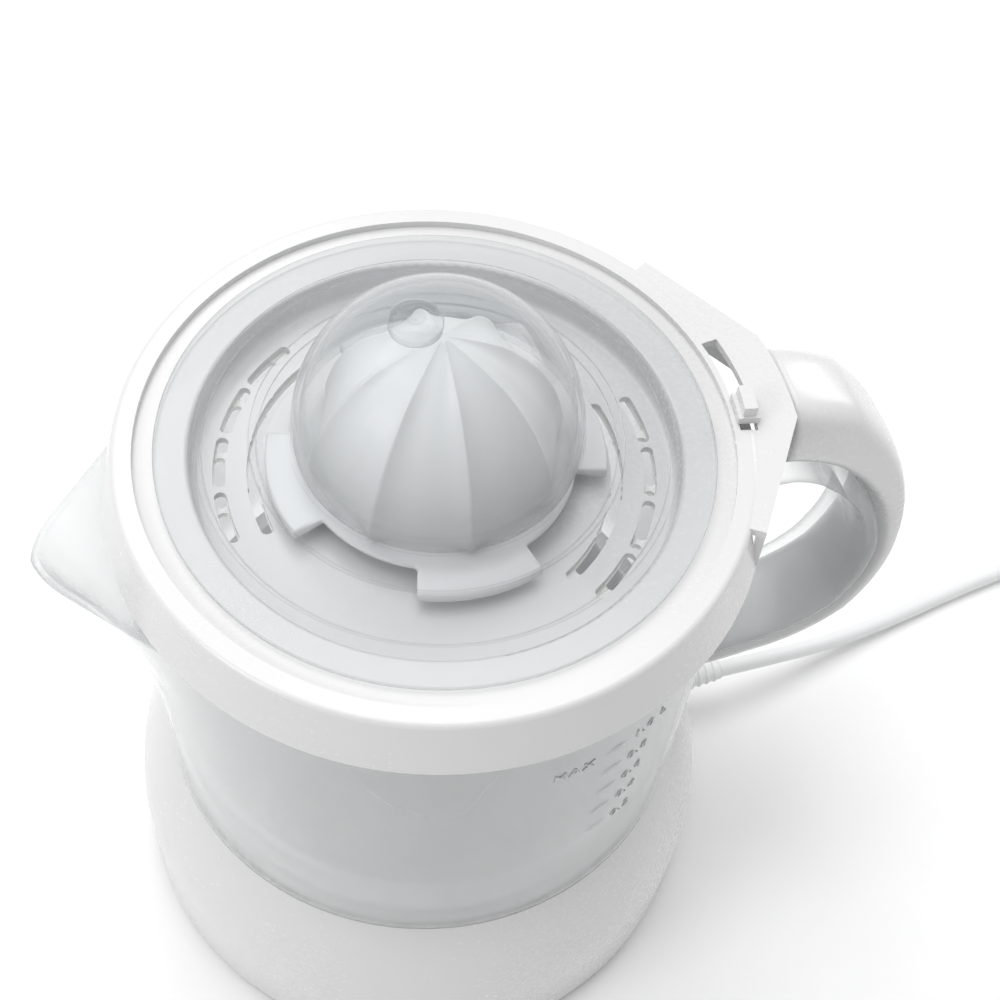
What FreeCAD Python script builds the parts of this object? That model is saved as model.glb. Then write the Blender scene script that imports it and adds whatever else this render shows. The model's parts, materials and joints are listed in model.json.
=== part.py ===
"""Citrus press juicer, modelled in millimetres.

The origin is on the table at the drive axis, +Z is up and +X points along the jug's handle, so that
the pouring spout is on the -X side. Every size is a named cell of the sheet called Sizes.
"""
import FreeCAD, Part
import math
import os

import Sketcher

doc = FreeCAD.newDocument("CitrusPress")
sheet = doc.addObject("Spreadsheet::Sheet", "Sizes")
V = FreeCAD.Vector
EXPORTS = []


# ---------------------------------------------------------------- sizes

class Size:
    """A length or angle that knows its expression in the sheet and its present value."""

    def __init__(self, text, value):
        self.text, self.value = text, value

    @staticmethod
    def of(other):
        return other if isinstance(other, Size) else Size(repr(float(other)), float(other))

    def _join(self, sign, other, value):
        return Size("(%s %s %s)" % (self.text, sign, Size.of(other).text), value)

    def __add__(self, other):
        return self._join("+", other, self.value + Size.of(other).value)

    def __sub__(self, other):
        return self._join("-", other, self.value - Size.of(other).value)

    def __mul__(self, other):
        return self._join("*", other, self.value * Size.of(other).value)

    def __truediv__(self, other):
        return self._join("/", other, self.value / Size.of(other).value)

    def __neg__(self):
        return Size("(-1 * %s)" % self.text, -self.value)


CELLS = {
    # stack of heights above the table
    "cover_bottom": 2.5, "cover_top": 4.7, "ledge_height": 64.0, "plateau_height": 79.8,
    "jug_floor_bottom": 80.4, "jug_floor_top": 83.0, "chimney_top": 164.0, "rim_height": 187.5,
    "ring_height": 190.0, "skirt_bottom": 174.5, "tray_bottom": 177.0, "tray_top": 179.0,
    "seat_bottom": 186.0, "seat_top": 188.0,
    # base housing
    "base_radius": 86.0, "base_belly_radius": 87.0, "base_belly_height": 30.0,
    "base_shoulder_radius": 76.2, "base_shoulder_arc": 60.0, "plateau_radius": 71.0,
    "base_wall": 2.5, "tower_radius": 9.5, "tower_height": 96.0, "cover_radius": 83.3,
    "pillar_circle": 64.0, "pillar_radius": 4.5, "bush_radius": 7.0,
    # feet and screws
    "foot_circle": 72.0, "foot_radius": 6.0, "foot_stud_radius": 2.0,
    "screw_radius": 1.5, "screw_head_radius": 3.0, "screw_head_height": 1.2, "screw_length": 10.0,
    # gear chassis and switch
    "chassis_radius": 57.0, "chassis_bottom": 22.0, "chassis_top": 25.0, "leg_circle": 48.0,
    "leg_radius": 4.0, "collar_radius": 10.9, "collar_bottom": 13.6, "cup_radius": 9.0,
    "cup_bottom": 11.0, "cup_top": 14.0, "arm_length": 32.0, "switch_top": 8.2,
    # motor
    "motor_x": -45.0, "core_left": -66.0, "core_right": -16.0, "core_half_width": 20.0,
    "core_bottom": 30.0, "core_top": 42.0, "bore_radius": 12.4, "rotor_radius": 12.0,
    "window_left": -31.0, "window_right": -22.0, "window_half_width": 13.0,
    "coil_half_width": 12.5, "coil_left": -30.6, "coil_right": -9.6, "coil_bottom": 26.0,
    "coil_top": 46.0, "rotor_shaft_radius": 1.5,
    # gears
    "fast_module": 0.6, "slow_module": 0.8, "pinion_teeth": 12, "wheel_teeth": 60,
    "fast_gear_bottom": 47.0, "fast_gear_top": 52.5, "slow_gear_bottom": 54.0,
    "slow_gear_top": 60.0, "gear_plate_bottom": 62.0, "gear_plate_top": 64.5,
    "idler_pin_radius": 1.5, "idler_pin_bottom": 46.3, "gear_sleeve_radius": 8.4,
    # drive shaft
    "shaft_radius": 4.5, "shaft_bottom": 14.05, "shaft_top": 196.0, "shaft_hex_radius": 6.4,
    "shaft_fit": 0.06, "head_bottom": 170.0, "spring_radius": 6.0, "spring_wire": 0.9,
    # jug
    "jug_top_radius": 79.0, "jug_foot_radius": 76.2, "jug_wall": 2.2,
    "chimney_inner": 11.0, "chimney_outer": 13.2, "notch_depth": 4.8, "notch_half_angle": 19.0,
    "spout_reach": 103.0, "spout_half_width": 53.5, "spout_top": 173.8,
    "full_mark_height": 149.0, "mark_step": 11.5, "mark_angle": -69.0, "mark_depth": 1.1,
    "mark_half_length": 3.6, "mark_half_height": 1.7,
    # handle
    "handle_half_width": 14.5, "handle_reach": 139.0, "handle_gap_reach": 127.5,
    "handle_start": 92.6,
    # strainer ring
    "ring_step_radius": 75.0, "ring_top_radius": 80.4, "ring_skirt_radius": 84.0,
    "ring_skirt_wall": 2.2, "ring_plate": 2.5, "tray_wall_radius": 61.5, "tray_wall": 2.0,
    "hub_inner": 14.4, "hub_outer": 16.9, "hub_bottom": 157.0, "sleeve_inner": 10.3,
    "sleeve_outer": 12.1, "sleeve_top": 195.0, "tab_radius": 92.2, "tab_tangent_angle": 33.0,
    "slider_radius": 79.0, "slider_half_angle": 11.0, "slider_slot_width": 4.6,
    "slot_row_one": 46.0, "slot_row_two": 54.5, "slot_width": 3.2, "slot_length": 13.0,
    # pulp control
    "disc_radius": 60.5, "disc_bottom": 175.2, "disc_top": 176.8, "disc_fit": 0.1,
    "lip_radius": 17.7, "lip_top": 174.9, "arm_riser_radius": 71.0, "arm_riser_outer": 73.0,
    "arm_outer": 81.0, "arm_top": 185.4, "arm_thickness": 1.8,
    "knob_stem_radius": 1.9, "knob_rest_angle": -6.5,
    # reamers
    "reamer_bottom": 182.1, "small_reamer_radius": 20.0, "small_flange_radius": 26.5,
    "small_reamer_tip": 217.0, "large_reamer_radius": 32.6, "large_core_radius": 29.6,
    "large_reamer_tip": 230.0, "large_flange_radius": 35.0, "large_tab_radius": 43.0,
    "reamer_wall": 2.0, "socket_radius": 8.0, "socket_fit": 0.12, "rib_half_width": 1.3,
    # lid
    "lid_radius": 70.0, "lid_step_radius": 60.0, "lid_foot_radius": 46.5, "dome_radius": 36.0,
    "dome_centre": 198.0, "lid_wall": 1.8, "lid_knob_radius": 6.6, "lid_knob_offset": 6.5,
    "lid_knob_angle": 160.0,
    # cord
    "cord_radius": 2.75, "cord_exit_side": 10.4, "cord_exit_height": 14.0,
    "relief_length": 24.0, "relief_root_radius": 5.2,
    "coil_turn_radius": 31.0, "coil_half_band": 8.3, "coil_height": 11.2,
}
for row, (alias, number) in enumerate(CELLS.items(), start=1):
    sheet.set("A%d" % row, str(number))
    sheet.setAlias("A%d" % row, alias)
doc.recompute()


def size(alias):
    """The named cell as a Size."""
    return Size("Sizes." + alias, float(CELLS[alias]))


def number(alias):
    """The named cell's present value, for shapes that are set by code."""
    return float(sheet.get(alias))


def bind(target, **expressions):
    """Bind properties of an object to sizes, numbers standing as themselves."""
    for prop, what in expressions.items():
        target.setExpression(prop.replace("__", "."), Size.of(what).text)
    return target


def keep(shape_object, label):
    """Name an object as a finished sub-part that is exported."""
    shape_object.Label = label
    EXPORTS.append(shape_object)
    return shape_object


# ---------------------------------------------------------------- sketches and bodies

def new_body(name):
    """An empty PartDesign body."""
    return doc.addObject("PartDesign::Body", name)


def plane_of(body, role):
    """The origin plane of a body that carries this role."""
    return next(f for f in body.Origin.OriginFeatures if f.Role == role)


def arc_between(start, end, radius):
    """The short arc from start to end, whose positive radius bulges to the right of the way."""
    if radius < 0:
        start, end = end, start
    chord = end - start
    to_centre = V(-chord.y, chord.x, 0).normalize() * math.sqrt(radius ** 2 - (chord.Length / 2) ** 2)
    centre = (start + end) * 0.5 + to_centre
    first, last = (math.atan2(p.y - centre.y, p.x - centre.x) for p in (start, end))
    circle = Part.Circle(centre, V(0, 0, 1), abs(radius))
    return Part.ArcOfCircle(circle, first, last if last > first else last + 2 * math.pi)


def add_outline(sketch, points):
    """Draw a closed outline. A point is (x, y), or (x, y, arc) where arc is the signed radius of the
    arc that leads to it. Each corner is dimensioned from the origin with its own expression."""
    corners = [tuple(Size.of(c) for c in p) for p in points]
    places = [V(c[0].value, c[1].value, 0) for c in corners]
    first = sketch.GeometryCount
    for i, start in enumerate(places):
        k = (i + 1) % len(places)
        if len(corners[k]) == 3:
            sketch.addGeometry(arc_between(start, places[k], corners[k][2].value), False)
        else:
            sketch.addGeometry(Part.LineSegment(start, places[k]), False)
    ends = []
    for i, start in enumerate(places):
        geometry = sketch.Geometry[first + i]
        forward = (geometry.StartPoint - start).Length < (geometry.EndPoint - start).Length
        ends.append((1, 2) if forward else (2, 1))
    for i in range(len(places)):
        k = (i + 1) % len(places)
        sketch.addConstraint(Sketcher.Constraint("Coincident", first + i, ends[i][1], first + k, ends[k][0]))
    for i, corner in enumerate(corners):
        for kind, axis, what in (("DistanceX", -2, corner[0]), ("DistanceY", -1, corner[1])):
            if what.value == 0:
                sketch.addConstraint(Sketcher.Constraint("PointOnObject", first + i, ends[i][0], axis))
                continue
            n = sketch.addConstraint(Sketcher.Constraint(kind, -1, 1, first + i, ends[i][0], what.value))
            sketch.setExpression("Constraints[%d]" % n, what.text)
        if len(corner) == 3:
            arc = first + (i - 1) % len(places)
            n = sketch.addConstraint(Sketcher.Constraint("Radius", arc, abs(corner[2].value)))
            sign = corner[2] if corner[2].value > 0 else -corner[2]
            sketch.setExpression("Constraints[%d]" % n, sign.text)


def add_circle(sketch, x, y, radius):
    """Draw a circle whose centre and radius are bound to sizes."""
    x, y, radius = Size.of(x), Size.of(y), Size.of(radius)
    k = sketch.addGeometry(Part.Circle(V(x.value, y.value, 0), V(0, 0, 1), radius.value), False)
    n = sketch.addConstraint(Sketcher.Constraint("Radius", k, radius.value))
    sketch.setExpression("Constraints[%d]" % n, radius.text)
    for kind, axis, what in (("DistanceX", -2, x), ("DistanceY", -1, y)):
        if what.value == 0:
            sketch.addConstraint(Sketcher.Constraint("PointOnObject", k, 3, axis))
            continue
        n = sketch.addConstraint(Sketcher.Constraint(kind, -1, 1, k, 3, what.value))
        sketch.setExpression("Constraints[%d]" % n, what.text)


def new_sketch(body, name, role="XZ_Plane", height=None):
    """A sketch on one of the body's own origin planes, raised by height along the plane's normal."""
    sketch = body.newObject("Sketcher::SketchObject", name)
    sketch.AttachmentSupport = (plane_of(body, role), "")
    sketch.MapMode = "FlatFace"
    if height is not None:
        sketch.setExpression("AttachmentOffset.Base.z", Size.of(height).text)
    return sketch


def finish(body, feature):
    """Make a feature the body's tip, compute it and stop if it failed."""
    body.Tip = feature
    doc.recompute()
    if "Invalid" in feature.State or "Error" in feature.State or feature.Shape.isNull():
        raise RuntimeError("%s of %s failed: %s" % (feature.Name, body.Name, feature.getStatusString()))


def revolve(body, points, kind="Revolution", name="Profile"):
    """Turn an outline in the XZ plane a full turn about the body's vertical axis."""
    sketch = new_sketch(body, name)
    add_outline(sketch, points)
    feature = body.newObject("PartDesign::" + kind, name + kind)
    feature.Profile = sketch
    feature.ReferenceAxis = (sketch, ["V_Axis"])
    feature.Angle = 360.0
    finish(body, feature)
    return feature


def extrude(body, outlines, low, high, kind="Pad", name="Outline"):
    """Pad or pocket outlines of the XY plane between two heights."""
    low, high = Size.of(low), Size.of(high)
    before = body.Tip.Shape.Volume if kind == "Pocket" else 0.0
    sketch = new_sketch(body, name, "XY_Plane", low)
    for outline in outlines:
        if isinstance(outline, tuple):
            add_circle(sketch, *outline)
        else:
            add_outline(sketch, outline)
    feature = body.newObject("PartDesign::" + kind, name + kind)
    feature.Profile = sketch
    bind(feature, Length=high - low)
    feature.Reversed = kind == "Pocket"
    finish(body, feature)
    if kind == "Pocket" and before - feature.Shape.Volume < 1e-3:
        raise RuntimeError("%s cuts nothing" % feature.Name)
    return feature


def pad_across(body, points, half_width, kind="Pad", name="Side"):
    """Pad or pocket an outline of the XZ plane to both sides of that plane."""
    sketch = new_sketch(body, name)
    add_outline(sketch, points)
    feature = body.newObject("PartDesign::" + kind, name + kind)
    feature.Profile = sketch
    feature.Midplane = True
    bind(feature, Length=Size.of(half_width) * 2)
    finish(body, feature)
    return feature


def around(body, features, count, name):
    """Repeat features evenly around the body's vertical axis."""
    pattern = body.newObject("PartDesign::PolarPattern", name)
    pattern.Originals = features
    pattern.Axis = (plane_of(body, "Z_Axis"), [""])
    pattern.Angle = 360.0
    pattern.Occurrences = count
    finish(body, pattern)
    return pattern


def polar(radius, degrees):
    """Sheet expressions of a point given by its radius and angle."""
    radius, angle = Size.of(radius), Size.of(degrees)
    a = math.radians(angle.value)
    return (Size("(%s * cos(%s * 1 deg))" % (radius.text, angle.text), radius.value * math.cos(a)),
            Size("(%s * sin(%s * 1 deg))" % (radius.text, angle.text), radius.value * math.sin(a)))


def cylinder(name, radius, low, high, x=0, y=0):
    """A Part cylinder along Z."""
    low, high, x, y = Size.of(low), Size.of(high), Size.of(x), Size.of(y)
    item = doc.addObject("Part::Cylinder", name)
    return bind(item, Radius=radius, Height=high - low, Placement__Base__x=x,
                Placement__Base__y=y, Placement__Base__z=low)


def block(name, x, y, z):
    """A Part box between pairs of limits."""
    (x0, x1), (y0, y1), (z0, z1) = (tuple(Size.of(v) for v in pair) for pair in (x, y, z))
    item = doc.addObject("Part::Box", name)
    return bind(item, Length=x1 - x0, Width=y1 - y0, Height=z1 - z0, Placement__Base__x=x0,
                Placement__Base__y=y0, Placement__Base__z=z0)


def joined(name, parts):
    """Several shapes fused into one solid."""
    item = doc.addObject("Part::MultiFuse", name)
    item.Shapes = parts
    item.Refine = True
    return item


def less(name, base, tools):
    """Base with one or more tools cut away."""
    item = doc.addObject("Part::Cut", name)
    item.Base = base
    item.Tool = tools[0] if len(tools) == 1 else joined(name + "_tools", tools)
    item.Refine = True
    return item


def group(name, parts):
    """Separate solids kept together as one node."""
    item = doc.addObject("Part::Compound", name)
    item.Links = parts
    return item


# ---------------------------------------------------------------- base

PILLARS = [polar(size("pillar_circle"), a) for a in (45, 135, 225, 315)]
LEGS = [polar(size("leg_circle"), a) for a in (60, 180, 300)]
FEET = [polar(size("foot_circle"), a) for a in (0, 90, 180, 270)]


def base_housing():
    """One moulded shell: bellied wall, ledge for the jug, raised plateau and bearing tower."""
    wall, top = size("base_wall"), size("plateau_height")
    belly, ledge = size("base_belly_radius"), size("ledge_height")
    shoulder, plateau, tower = size("base_shoulder_radius"), size("plateau_radius"), size("tower_radius")
    body = new_body("BaseHousing")
    revolve(body, [
        (size("cover_radius"), size("cover_bottom")), (size("base_radius"), size("cover_bottom")),
        (belly, size("base_belly_height")), (shoulder, ledge, size("base_shoulder_arc")),
        (plateau, ledge), (plateau, top - 2), (plateau - 2, top, 2), (tower, top),
        (tower, size("tower_height")), (size("bush_radius"), size("tower_height")),
        (size("bush_radius"), top - wall), (plateau - wall - 1, top - wall),
        (plateau - wall, top - wall - 1), (plateau - wall, ledge - wall),
        (shoulder - 1.4, ledge - wall),
        (belly - wall, size("base_belly_height"), -(size("base_shoulder_arc") - 2.5)),
        (size("cover_radius"), size("cover_top")),
    ])
    extrude(body, [(x, y, size("pillar_radius")) for x, y in PILLARS], size("cover_top"), top - 1,
            name="Pillars")
    extrude(body, [(x, y, size("screw_radius")) for x, y in PILLARS], size("cover_top"),
            size("cover_top") + size("screw_length"), "Pocket", "PillarBores")
    before = body.Tip.Shape.Volume
    bore = new_sketch(body, "CordBore", "YZ_Plane", plateau - 5)
    add_circle(bore, size("cord_exit_side"), size("cord_exit_height"), size("relief_root_radius") - 1.2)
    cut = body.newObject("PartDesign::Pocket", "CordBorePocket")
    cut.Profile = bore
    cut.Reversed = True
    bind(cut, Length=belly)
    finish(body, cut)
    if before - cut.Shape.Volume < 1:
        raise RuntimeError("the cord bore cuts nothing")
    return keep(body, "base_housing")


def bottom_cover():
    """The screwed plate that closes the housing, with the seat of the return spring."""
    low, high = size("cover_bottom"), size("cover_top")
    body = new_body("BottomCover")
    extrude(body, [(0, 0, size("cover_radius") - 0.1)], low, high, name="Disc")
    extrude(body, [(0, 0, size("spring_radius") - 1.2)], high, high + 2.5, name="SpringSpigot")
    holes = [(x, y, size("screw_radius")) for x, y in PILLARS + LEGS]
    holes += [(x, y, size("foot_stud_radius")) for x, y in FEET]
    extrude(body, holes, low, high, "Pocket", "Holes")
    heads = [(x, y, size("screw_head_radius")) for x, y in PILLARS + LEGS]
    extrude(body, heads, low, low + size("screw_head_height"), "Pocket", "HeadSeats")
    return keep(body, "base_bottom_cover")


def cover_screws():
    """The screws that hold the bottom cover to the pillars and motor legs."""
    low = size("cover_bottom")
    neck = low + size("screw_head_height")
    screws = []
    for i, (x, y) in enumerate(PILLARS + LEGS):
        head = cylinder("ScrewHead%d" % i, size("screw_head_radius"), low, neck, x, y)
        shank = cylinder("ScrewShank%d" % i, size("screw_radius"), neck,
                         size("cover_top") + size("screw_length"), x, y)
        drive = cylinder("ScrewDrive%d" % i, 1.0, low, low + 0.7, x, y)
        screws.append(less("Screw%d" % i, joined("ScrewBlank%d" % i, [head, shank]), [drive]))
    return keep(group("CoverScrews", screws), "cover_screws")


def rubber_feet():
    """Four feet, each with a stud pressed into the cover."""
    feet = []
    for i, (x, y) in enumerate(FEET):
        pad = cylinder("FootPad%d" % i, size("foot_radius"), 0, size("cover_bottom"), x, y)
        stud = cylinder("FootStud%d" % i, size("foot_stud_radius"), size("cover_bottom"),
                        size("cover_top") + 1, x, y)
        feet.append(joined("Foot%d" % i, [pad, stud]))
    return keep(group("RubberFeet", feet), "rubber_feet")


# ---------------------------------------------------------------- chassis, motor and switch

def idler_place():
    """Centre of the idler, a fixed distance from the drive axis and from the motor axis."""
    slow = size("slow_module") * (size("pinion_teeth") + size("wheel_teeth")) / 2
    fast = size("fast_module") * (size("pinion_teeth") + size("wheel_teeth")) / 2
    span = -size("motor_x")
    along = (span * span + slow * slow - fast * fast) / (span * 2)
    across = Size("sqrt(%s)" % (slow * slow - along * along).text,
                  math.sqrt(slow.value ** 2 - along.value ** 2))
    return -along, across


IDLER_X, IDLER_Y = idler_place()
PLATE_POSTS = [polar(40, 90), polar(40, 270), polar(40, 0)]


def gear_chassis():
    """Moulded plate on three legs, with the collar that guides the thrust cup."""
    low, high = size("chassis_bottom"), size("chassis_top")
    body = new_body("GearChassis")
    extrude(body, [(0, 0, size("chassis_radius"))], low, high, name="Plate")
    extrude(body, [(x, y, size("leg_radius")) for x, y in LEGS], size("cover_top"), low + 1, name="Legs")
    extrude(body, [(0, 0, size("collar_radius"))], size("collar_bottom"), low + 1, name="Collar")
    posts = [(x, y, 3.5) for x, y in PLATE_POSTS]
    extrude(body, posts, high - 1, size("gear_plate_bottom"), name="Posts")
    stands = [(x, y, 3) for x in (-48, -24) for y in (-16.5, 16.5)]
    extrude(body, stands, high - 1, size("core_bottom"), name="MotorStands")
    extrude(body, [(x, y, size("screw_radius")) for x, y in LEGS], size("cover_top"),
            size("cover_top") + size("screw_length"), "Pocket", "LegBores")
    extrude(body, [(0, 0, size("cup_radius") + size("shaft_fit"))], size("collar_bottom"), low - 2,
            "Pocket", "CupBore")
    extrude(body, [(0, 0, size("bush_radius"))], low - 3, high, "Pocket", "BushBore")
    extrude(body, [(0, 0, size("gear_sleeve_radius")), (0, 0, size("bush_radius"))], high,
            size("slow_gear_bottom") - 0.1, name="GearSleeve")
    extrude(body, [(size("motor_x"), 0, size("rotor_shaft_radius") + 0.05)], low, high, "Pocket",
            "RotorBore")
    return keep(body, "gear_chassis")


def gear_plate():
    """Upper plate that holds the gears' upper pivots, seated on the chassis posts."""
    low, high = size("gear_plate_bottom"), size("gear_plate_top")
    body = new_body("GearPlate")
    extrude(body, [(0, 0, 52)], low, high, name="Plate")
    holes = [(0, 0, size("shaft_hex_radius") + 1.6), (IDLER_X, IDLER_Y, size("idler_pin_radius")),
             (size("motor_x"), 0, size("rotor_shaft_radius") + 0.05)]
    extrude(body, holes + [(x, y, size("screw_radius")) for x, y in PLATE_POSTS], low, high, "Pocket", "Holes")
    return keep(body, "gear_plate")


def plate_screws():
    """The screws that hold the gear plate on the chassis."""
    screws = []
    for i, (x, y) in enumerate(PLATE_POSTS):
        high = size("gear_plate_top")
        shank = cylinder("PlateShank%d" % i, size("screw_radius"), size("gear_plate_bottom"), high, x, y)
        head = cylinder("PlateHead%d" % i, size("screw_head_radius"), high, high + 1.8, x, y)
        drive = cylinder("PlateDrive%d" % i, 1.0, high + 1, high + 1.8, x, y)
        screws.append(less("PlateScrew%d" % i, joined("PlateBlank%d" % i, [head, shank]), [drive]))
    return keep(group("PlateScrews", screws), "gear_plate_screws")


def stator_core():
    """Laminated core with the rotor bore and the window that the winding passes through."""
    half, inner = size("core_half_width"), size("window_half_width")
    low, high = size("core_bottom"), size("core_top")
    frame = block("CoreBlock", (size("core_left"), size("core_right")), (-half, half), (low, high))
    bore = cylinder("CoreBore", size("bore_radius"), low, high, size("motor_x"), 0)
    window = block("CoreWindow", (size("window_left"), size("window_right")), (-inner, inner), (low, high))
    return keep(less("StatorCore", frame, [bore, window]), "motor_stator_core")


def winding():
    """Coil on its bobbin, wrapped round the outer leg of the core."""
    half = size("coil_half_width")
    outer = block("CoilBlock", (size("coil_left"), size("coil_right")), (-half, half),
                  (size("coil_bottom"), size("coil_top")))
    leg = block("CoilLeg", (size("window_right"), size("core_right")), (-half - 1, half + 1),
                (size("core_bottom"), size("core_top")))
    return keep(less("MotorWinding", outer, [leg]), "motor_winding")


def rotor():
    """The laminated core, its shaft and the pinion cut on the shaft."""
    return keep(less("RotorBody", cylinder("RotorBlank", size("rotor_radius"), size("core_bottom"),
                                            size("core_top"), size("motor_x")),
                     [cylinder("RotorHole", size("rotor_shaft_radius"), size("core_bottom"),
                               size("core_top"), size("motor_x"))]), "motor_rotor")


def gear_outline(teeth, module, phase):
    """Closed outline of a spur gear with straight flanks, as a list of points."""
    pitch = 2 * math.pi / teeth
    middle = teeth * module / 2
    steps = ((-0.30, middle - 1.15 * module), (-0.12, middle + 0.8 * module),
             (0.12, middle + 0.8 * module), (0.30, middle - 1.15 * module))
    return [V(r * math.cos(phase + (k + s) * pitch), r * math.sin(phase + (k + s) * pitch), 0)
            for k in range(teeth) for s, r in steps]


def gear_solid(teeth, module, phase, low, high, bore):
    """A spur gear standing from low to high, with a bore wire cut through it."""
    outline = gear_outline(teeth, module, phase)
    disc = Part.Face(Part.makePolygon(outline + outline[:1])).extrude(V(0, 0, high - low))
    disc.translate(V(0, 0, low))
    return disc.cut(bore) if bore else disc


def meshed_phase(phase, teeth, angle, other_teeth):
    """Phase of the gear at the far end of a centre line so that its teeth meet the first gear's gaps."""
    offset = (phase - angle) / (2 * math.pi / teeth)
    return angle + math.pi - (offset + 0.5) * 2 * math.pi / other_teeth


def feature(name, label, shape, x=0.0, y=0.0):
    """A finished solid as a document object, moved to a place in plan."""
    item = doc.addObject("Part::Feature", name)
    item.Shape = shape
    item.Placement = FreeCAD.Placement(V(x, y, 0), FreeCAD.Rotation()) * shape.Placement
    return keep(item, label)


def hexagon(radius, low, high):
    """A hexagonal prism with a corner on +X."""
    corners = [V(radius * math.cos(math.radians(60 * k)), radius * math.sin(math.radians(60 * k)), low)
               for k in range(7)]
    return Part.Face(Part.makePolygon(corners)).extrude(V(0, 0, high - low))


def gears():
    """The idler and output gears, in mesh with the pinion at rest."""
    small, large = int(number("pinion_teeth")), int(number("wheel_teeth"))
    slow, fast = number("slow_module"), number("fast_module")
    ix, iy, mx = IDLER_X.value, IDLER_Y.value, number("motor_x")
    low, high = number("slow_gear_bottom"), number("slow_gear_top")
    hole = hexagon(number("shaft_hex_radius") + number("shaft_fit"), low, high)
    to_idler = math.atan2(iy, ix)
    feature("OutputGear", "output_gear", gear_solid(large, slow, to_idler, low, high, hole))
    idler_phase = meshed_phase(to_idler, large, to_idler, small)
    pin = Part.makeCylinder(number("idler_pin_radius") + 0.05, 20, V(0, 0, 46))
    wheel = gear_solid(large, fast, idler_phase, number("fast_gear_bottom"), number("fast_gear_top"), pin)
    pinion = gear_solid(small, slow, idler_phase, number("fast_gear_top"), high + 1, pin)
    feature("IdlerGear", "idler_gear", wheel.fuse(pinion), ix, iy)
    to_motor = math.atan2(-iy, mx - ix)
    rotor_phase = meshed_phase(idler_phase, large, to_motor, small)
    shaft = Part.makeCylinder(number("rotor_shaft_radius"), number("gear_plate_top") - 22.5, V(0, 0, 22.5))
    teeth = gear_solid(small, fast, rotor_phase, 46.0, 53.5, None)
    feature("RotorShaft", "motor_shaft_pinion", shaft.fuse(teeth), mx)


def idler_pin():
    """Steel pin that hangs from the gear plate, with a flange that keeps the idler on."""
    low = size("idler_pin_bottom")
    stem = cylinder("IdlerStem", size("idler_pin_radius"), low, size("gear_plate_top"), IDLER_X, IDLER_Y)
    flange = cylinder("IdlerFlange", size("idler_pin_radius") + 1.1, low, low + 0.6, IDLER_X, IDLER_Y)
    return keep(joined("IdlerPin", [stem, flange]), "idler_pin")


def bush(name, label, low, high):
    """A plain bearing ring."""
    outer = cylinder(name + "Outer", size("bush_radius"), low, high)
    inner = cylinder(name + "Bore", size("shaft_radius") + size("shaft_fit"), low, high)
    return keep(less(name, outer, [inner]), label)


def switch_and_cup():
    """Micro switch on the cover and the sprung cup under the shaft whose peg works it."""
    low, high, reach = size("cup_bottom"), size("cup_top"), size("arm_length")
    disc = cylinder("CupDisc", size("cup_radius"), low, high)
    rim = cylinder("CupRim", size("cup_radius"), high, high + 4)
    arm = block("CupArm", (0, reach), (-3, 3), (low, low + 2))
    peg = cylinder("CupPeg", 1.2, low - 3.4, low, reach - 4)
    room = cylinder("CupRoom", size("cup_radius") - 1.6, high, high + 4)
    keep(less("ThrustCup", joined("CupBlank", [disc, rim, arm, peg]), [room]), "thrust_cup")
    case = block("SwitchCase", (reach - 12, reach + 8), (-3.4, 3.4), (size("cover_top"), size("switch_top")))
    hole = cylinder("SwitchHole", 1.45, size("cover_top") + 0.2, size("switch_top"), reach - 4)
    keep(less("MicroSwitch", case, [hole]), "micro_switch")


def return_spring():
    """Compression spring between the cover's spigot and the thrust cup."""
    wire, radius = number("spring_wire"), number("spring_radius")
    low, high = number("cover_top") + wire / 2 + 0.02, number("cup_bottom") - wire / 2 - 0.02
    helix = Part.makeHelix((high - low) / 3, high - low, radius)
    section = Part.Wire(Part.makeCircle(wire / 2, V(radius, 0, 0), V(0, 1, 0.1)))
    coil = Part.Wire(helix.Edges).makePipeShell([section], True, True)
    coil.translate(V(0, 0, low))
    feature("ReturnSpring", "return_spring", coil)


def drive_shaft():
    """Stepped shaft with a hexagon for the gear and a smaller one for the reamer."""
    low, radius = number("shaft_bottom"), number("shaft_radius")
    gear_low, gear_high = number("fast_gear_top") - 2, number("gear_plate_top") + 3
    lower = Part.makeCylinder(radius, gear_low - low, V(0, 0, low))
    middle = hexagon(number("shaft_hex_radius"), gear_low, gear_high)
    head = number("head_bottom")
    upper = Part.makeCylinder(radius, head - gear_high, V(0, 0, gear_high))
    tip = hexagon(radius, head, number("shaft_top"))
    feature("DriveShaft", "drive_shaft", lower.fuse([middle, upper, tip]).removeSplitter())


# ---------------------------------------------------------------- jug and handle

def jug_outer(height):
    """Outer radius of the jug wall at a height, as a Size."""
    low, high = size("ledge_height"), size("rim_height")
    rise = (size("jug_top_radius") - size("jug_foot_radius")) / (high - low)
    return size("jug_foot_radius") + rise * (Size.of(height) - low)


def jug():
    """Clear jug: tapered wall, raised floor, chimney round the shaft, spout and level marks."""
    foot, rim = size("ledge_height"), size("rim_height")
    wall, floor = size("jug_wall"), size("jug_floor_bottom")
    inner, outer = size("chimney_inner"), size("chimney_outer")
    body = new_body("Jug")
    revolve(body, [
        (size("jug_foot_radius") - wall, foot), (size("jug_foot_radius") - 1, foot),
        (size("jug_foot_radius"), foot + 1, 1), (size("jug_top_radius"), rim),
        (size("jug_top_radius") - wall, rim),
        (jug_outer(size("jug_floor_top") + 5) - wall, size("jug_floor_top") + 5),
        (jug_outer(size("jug_floor_top")) - wall - 5, size("jug_floor_top"), -5.2),
        (outer, size("jug_floor_top")), (outer, size("chimney_top")), (inner, size("chimney_top")),
        (inner, floor), (jug_outer(floor) - wall, floor),
    ])
    return body


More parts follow.
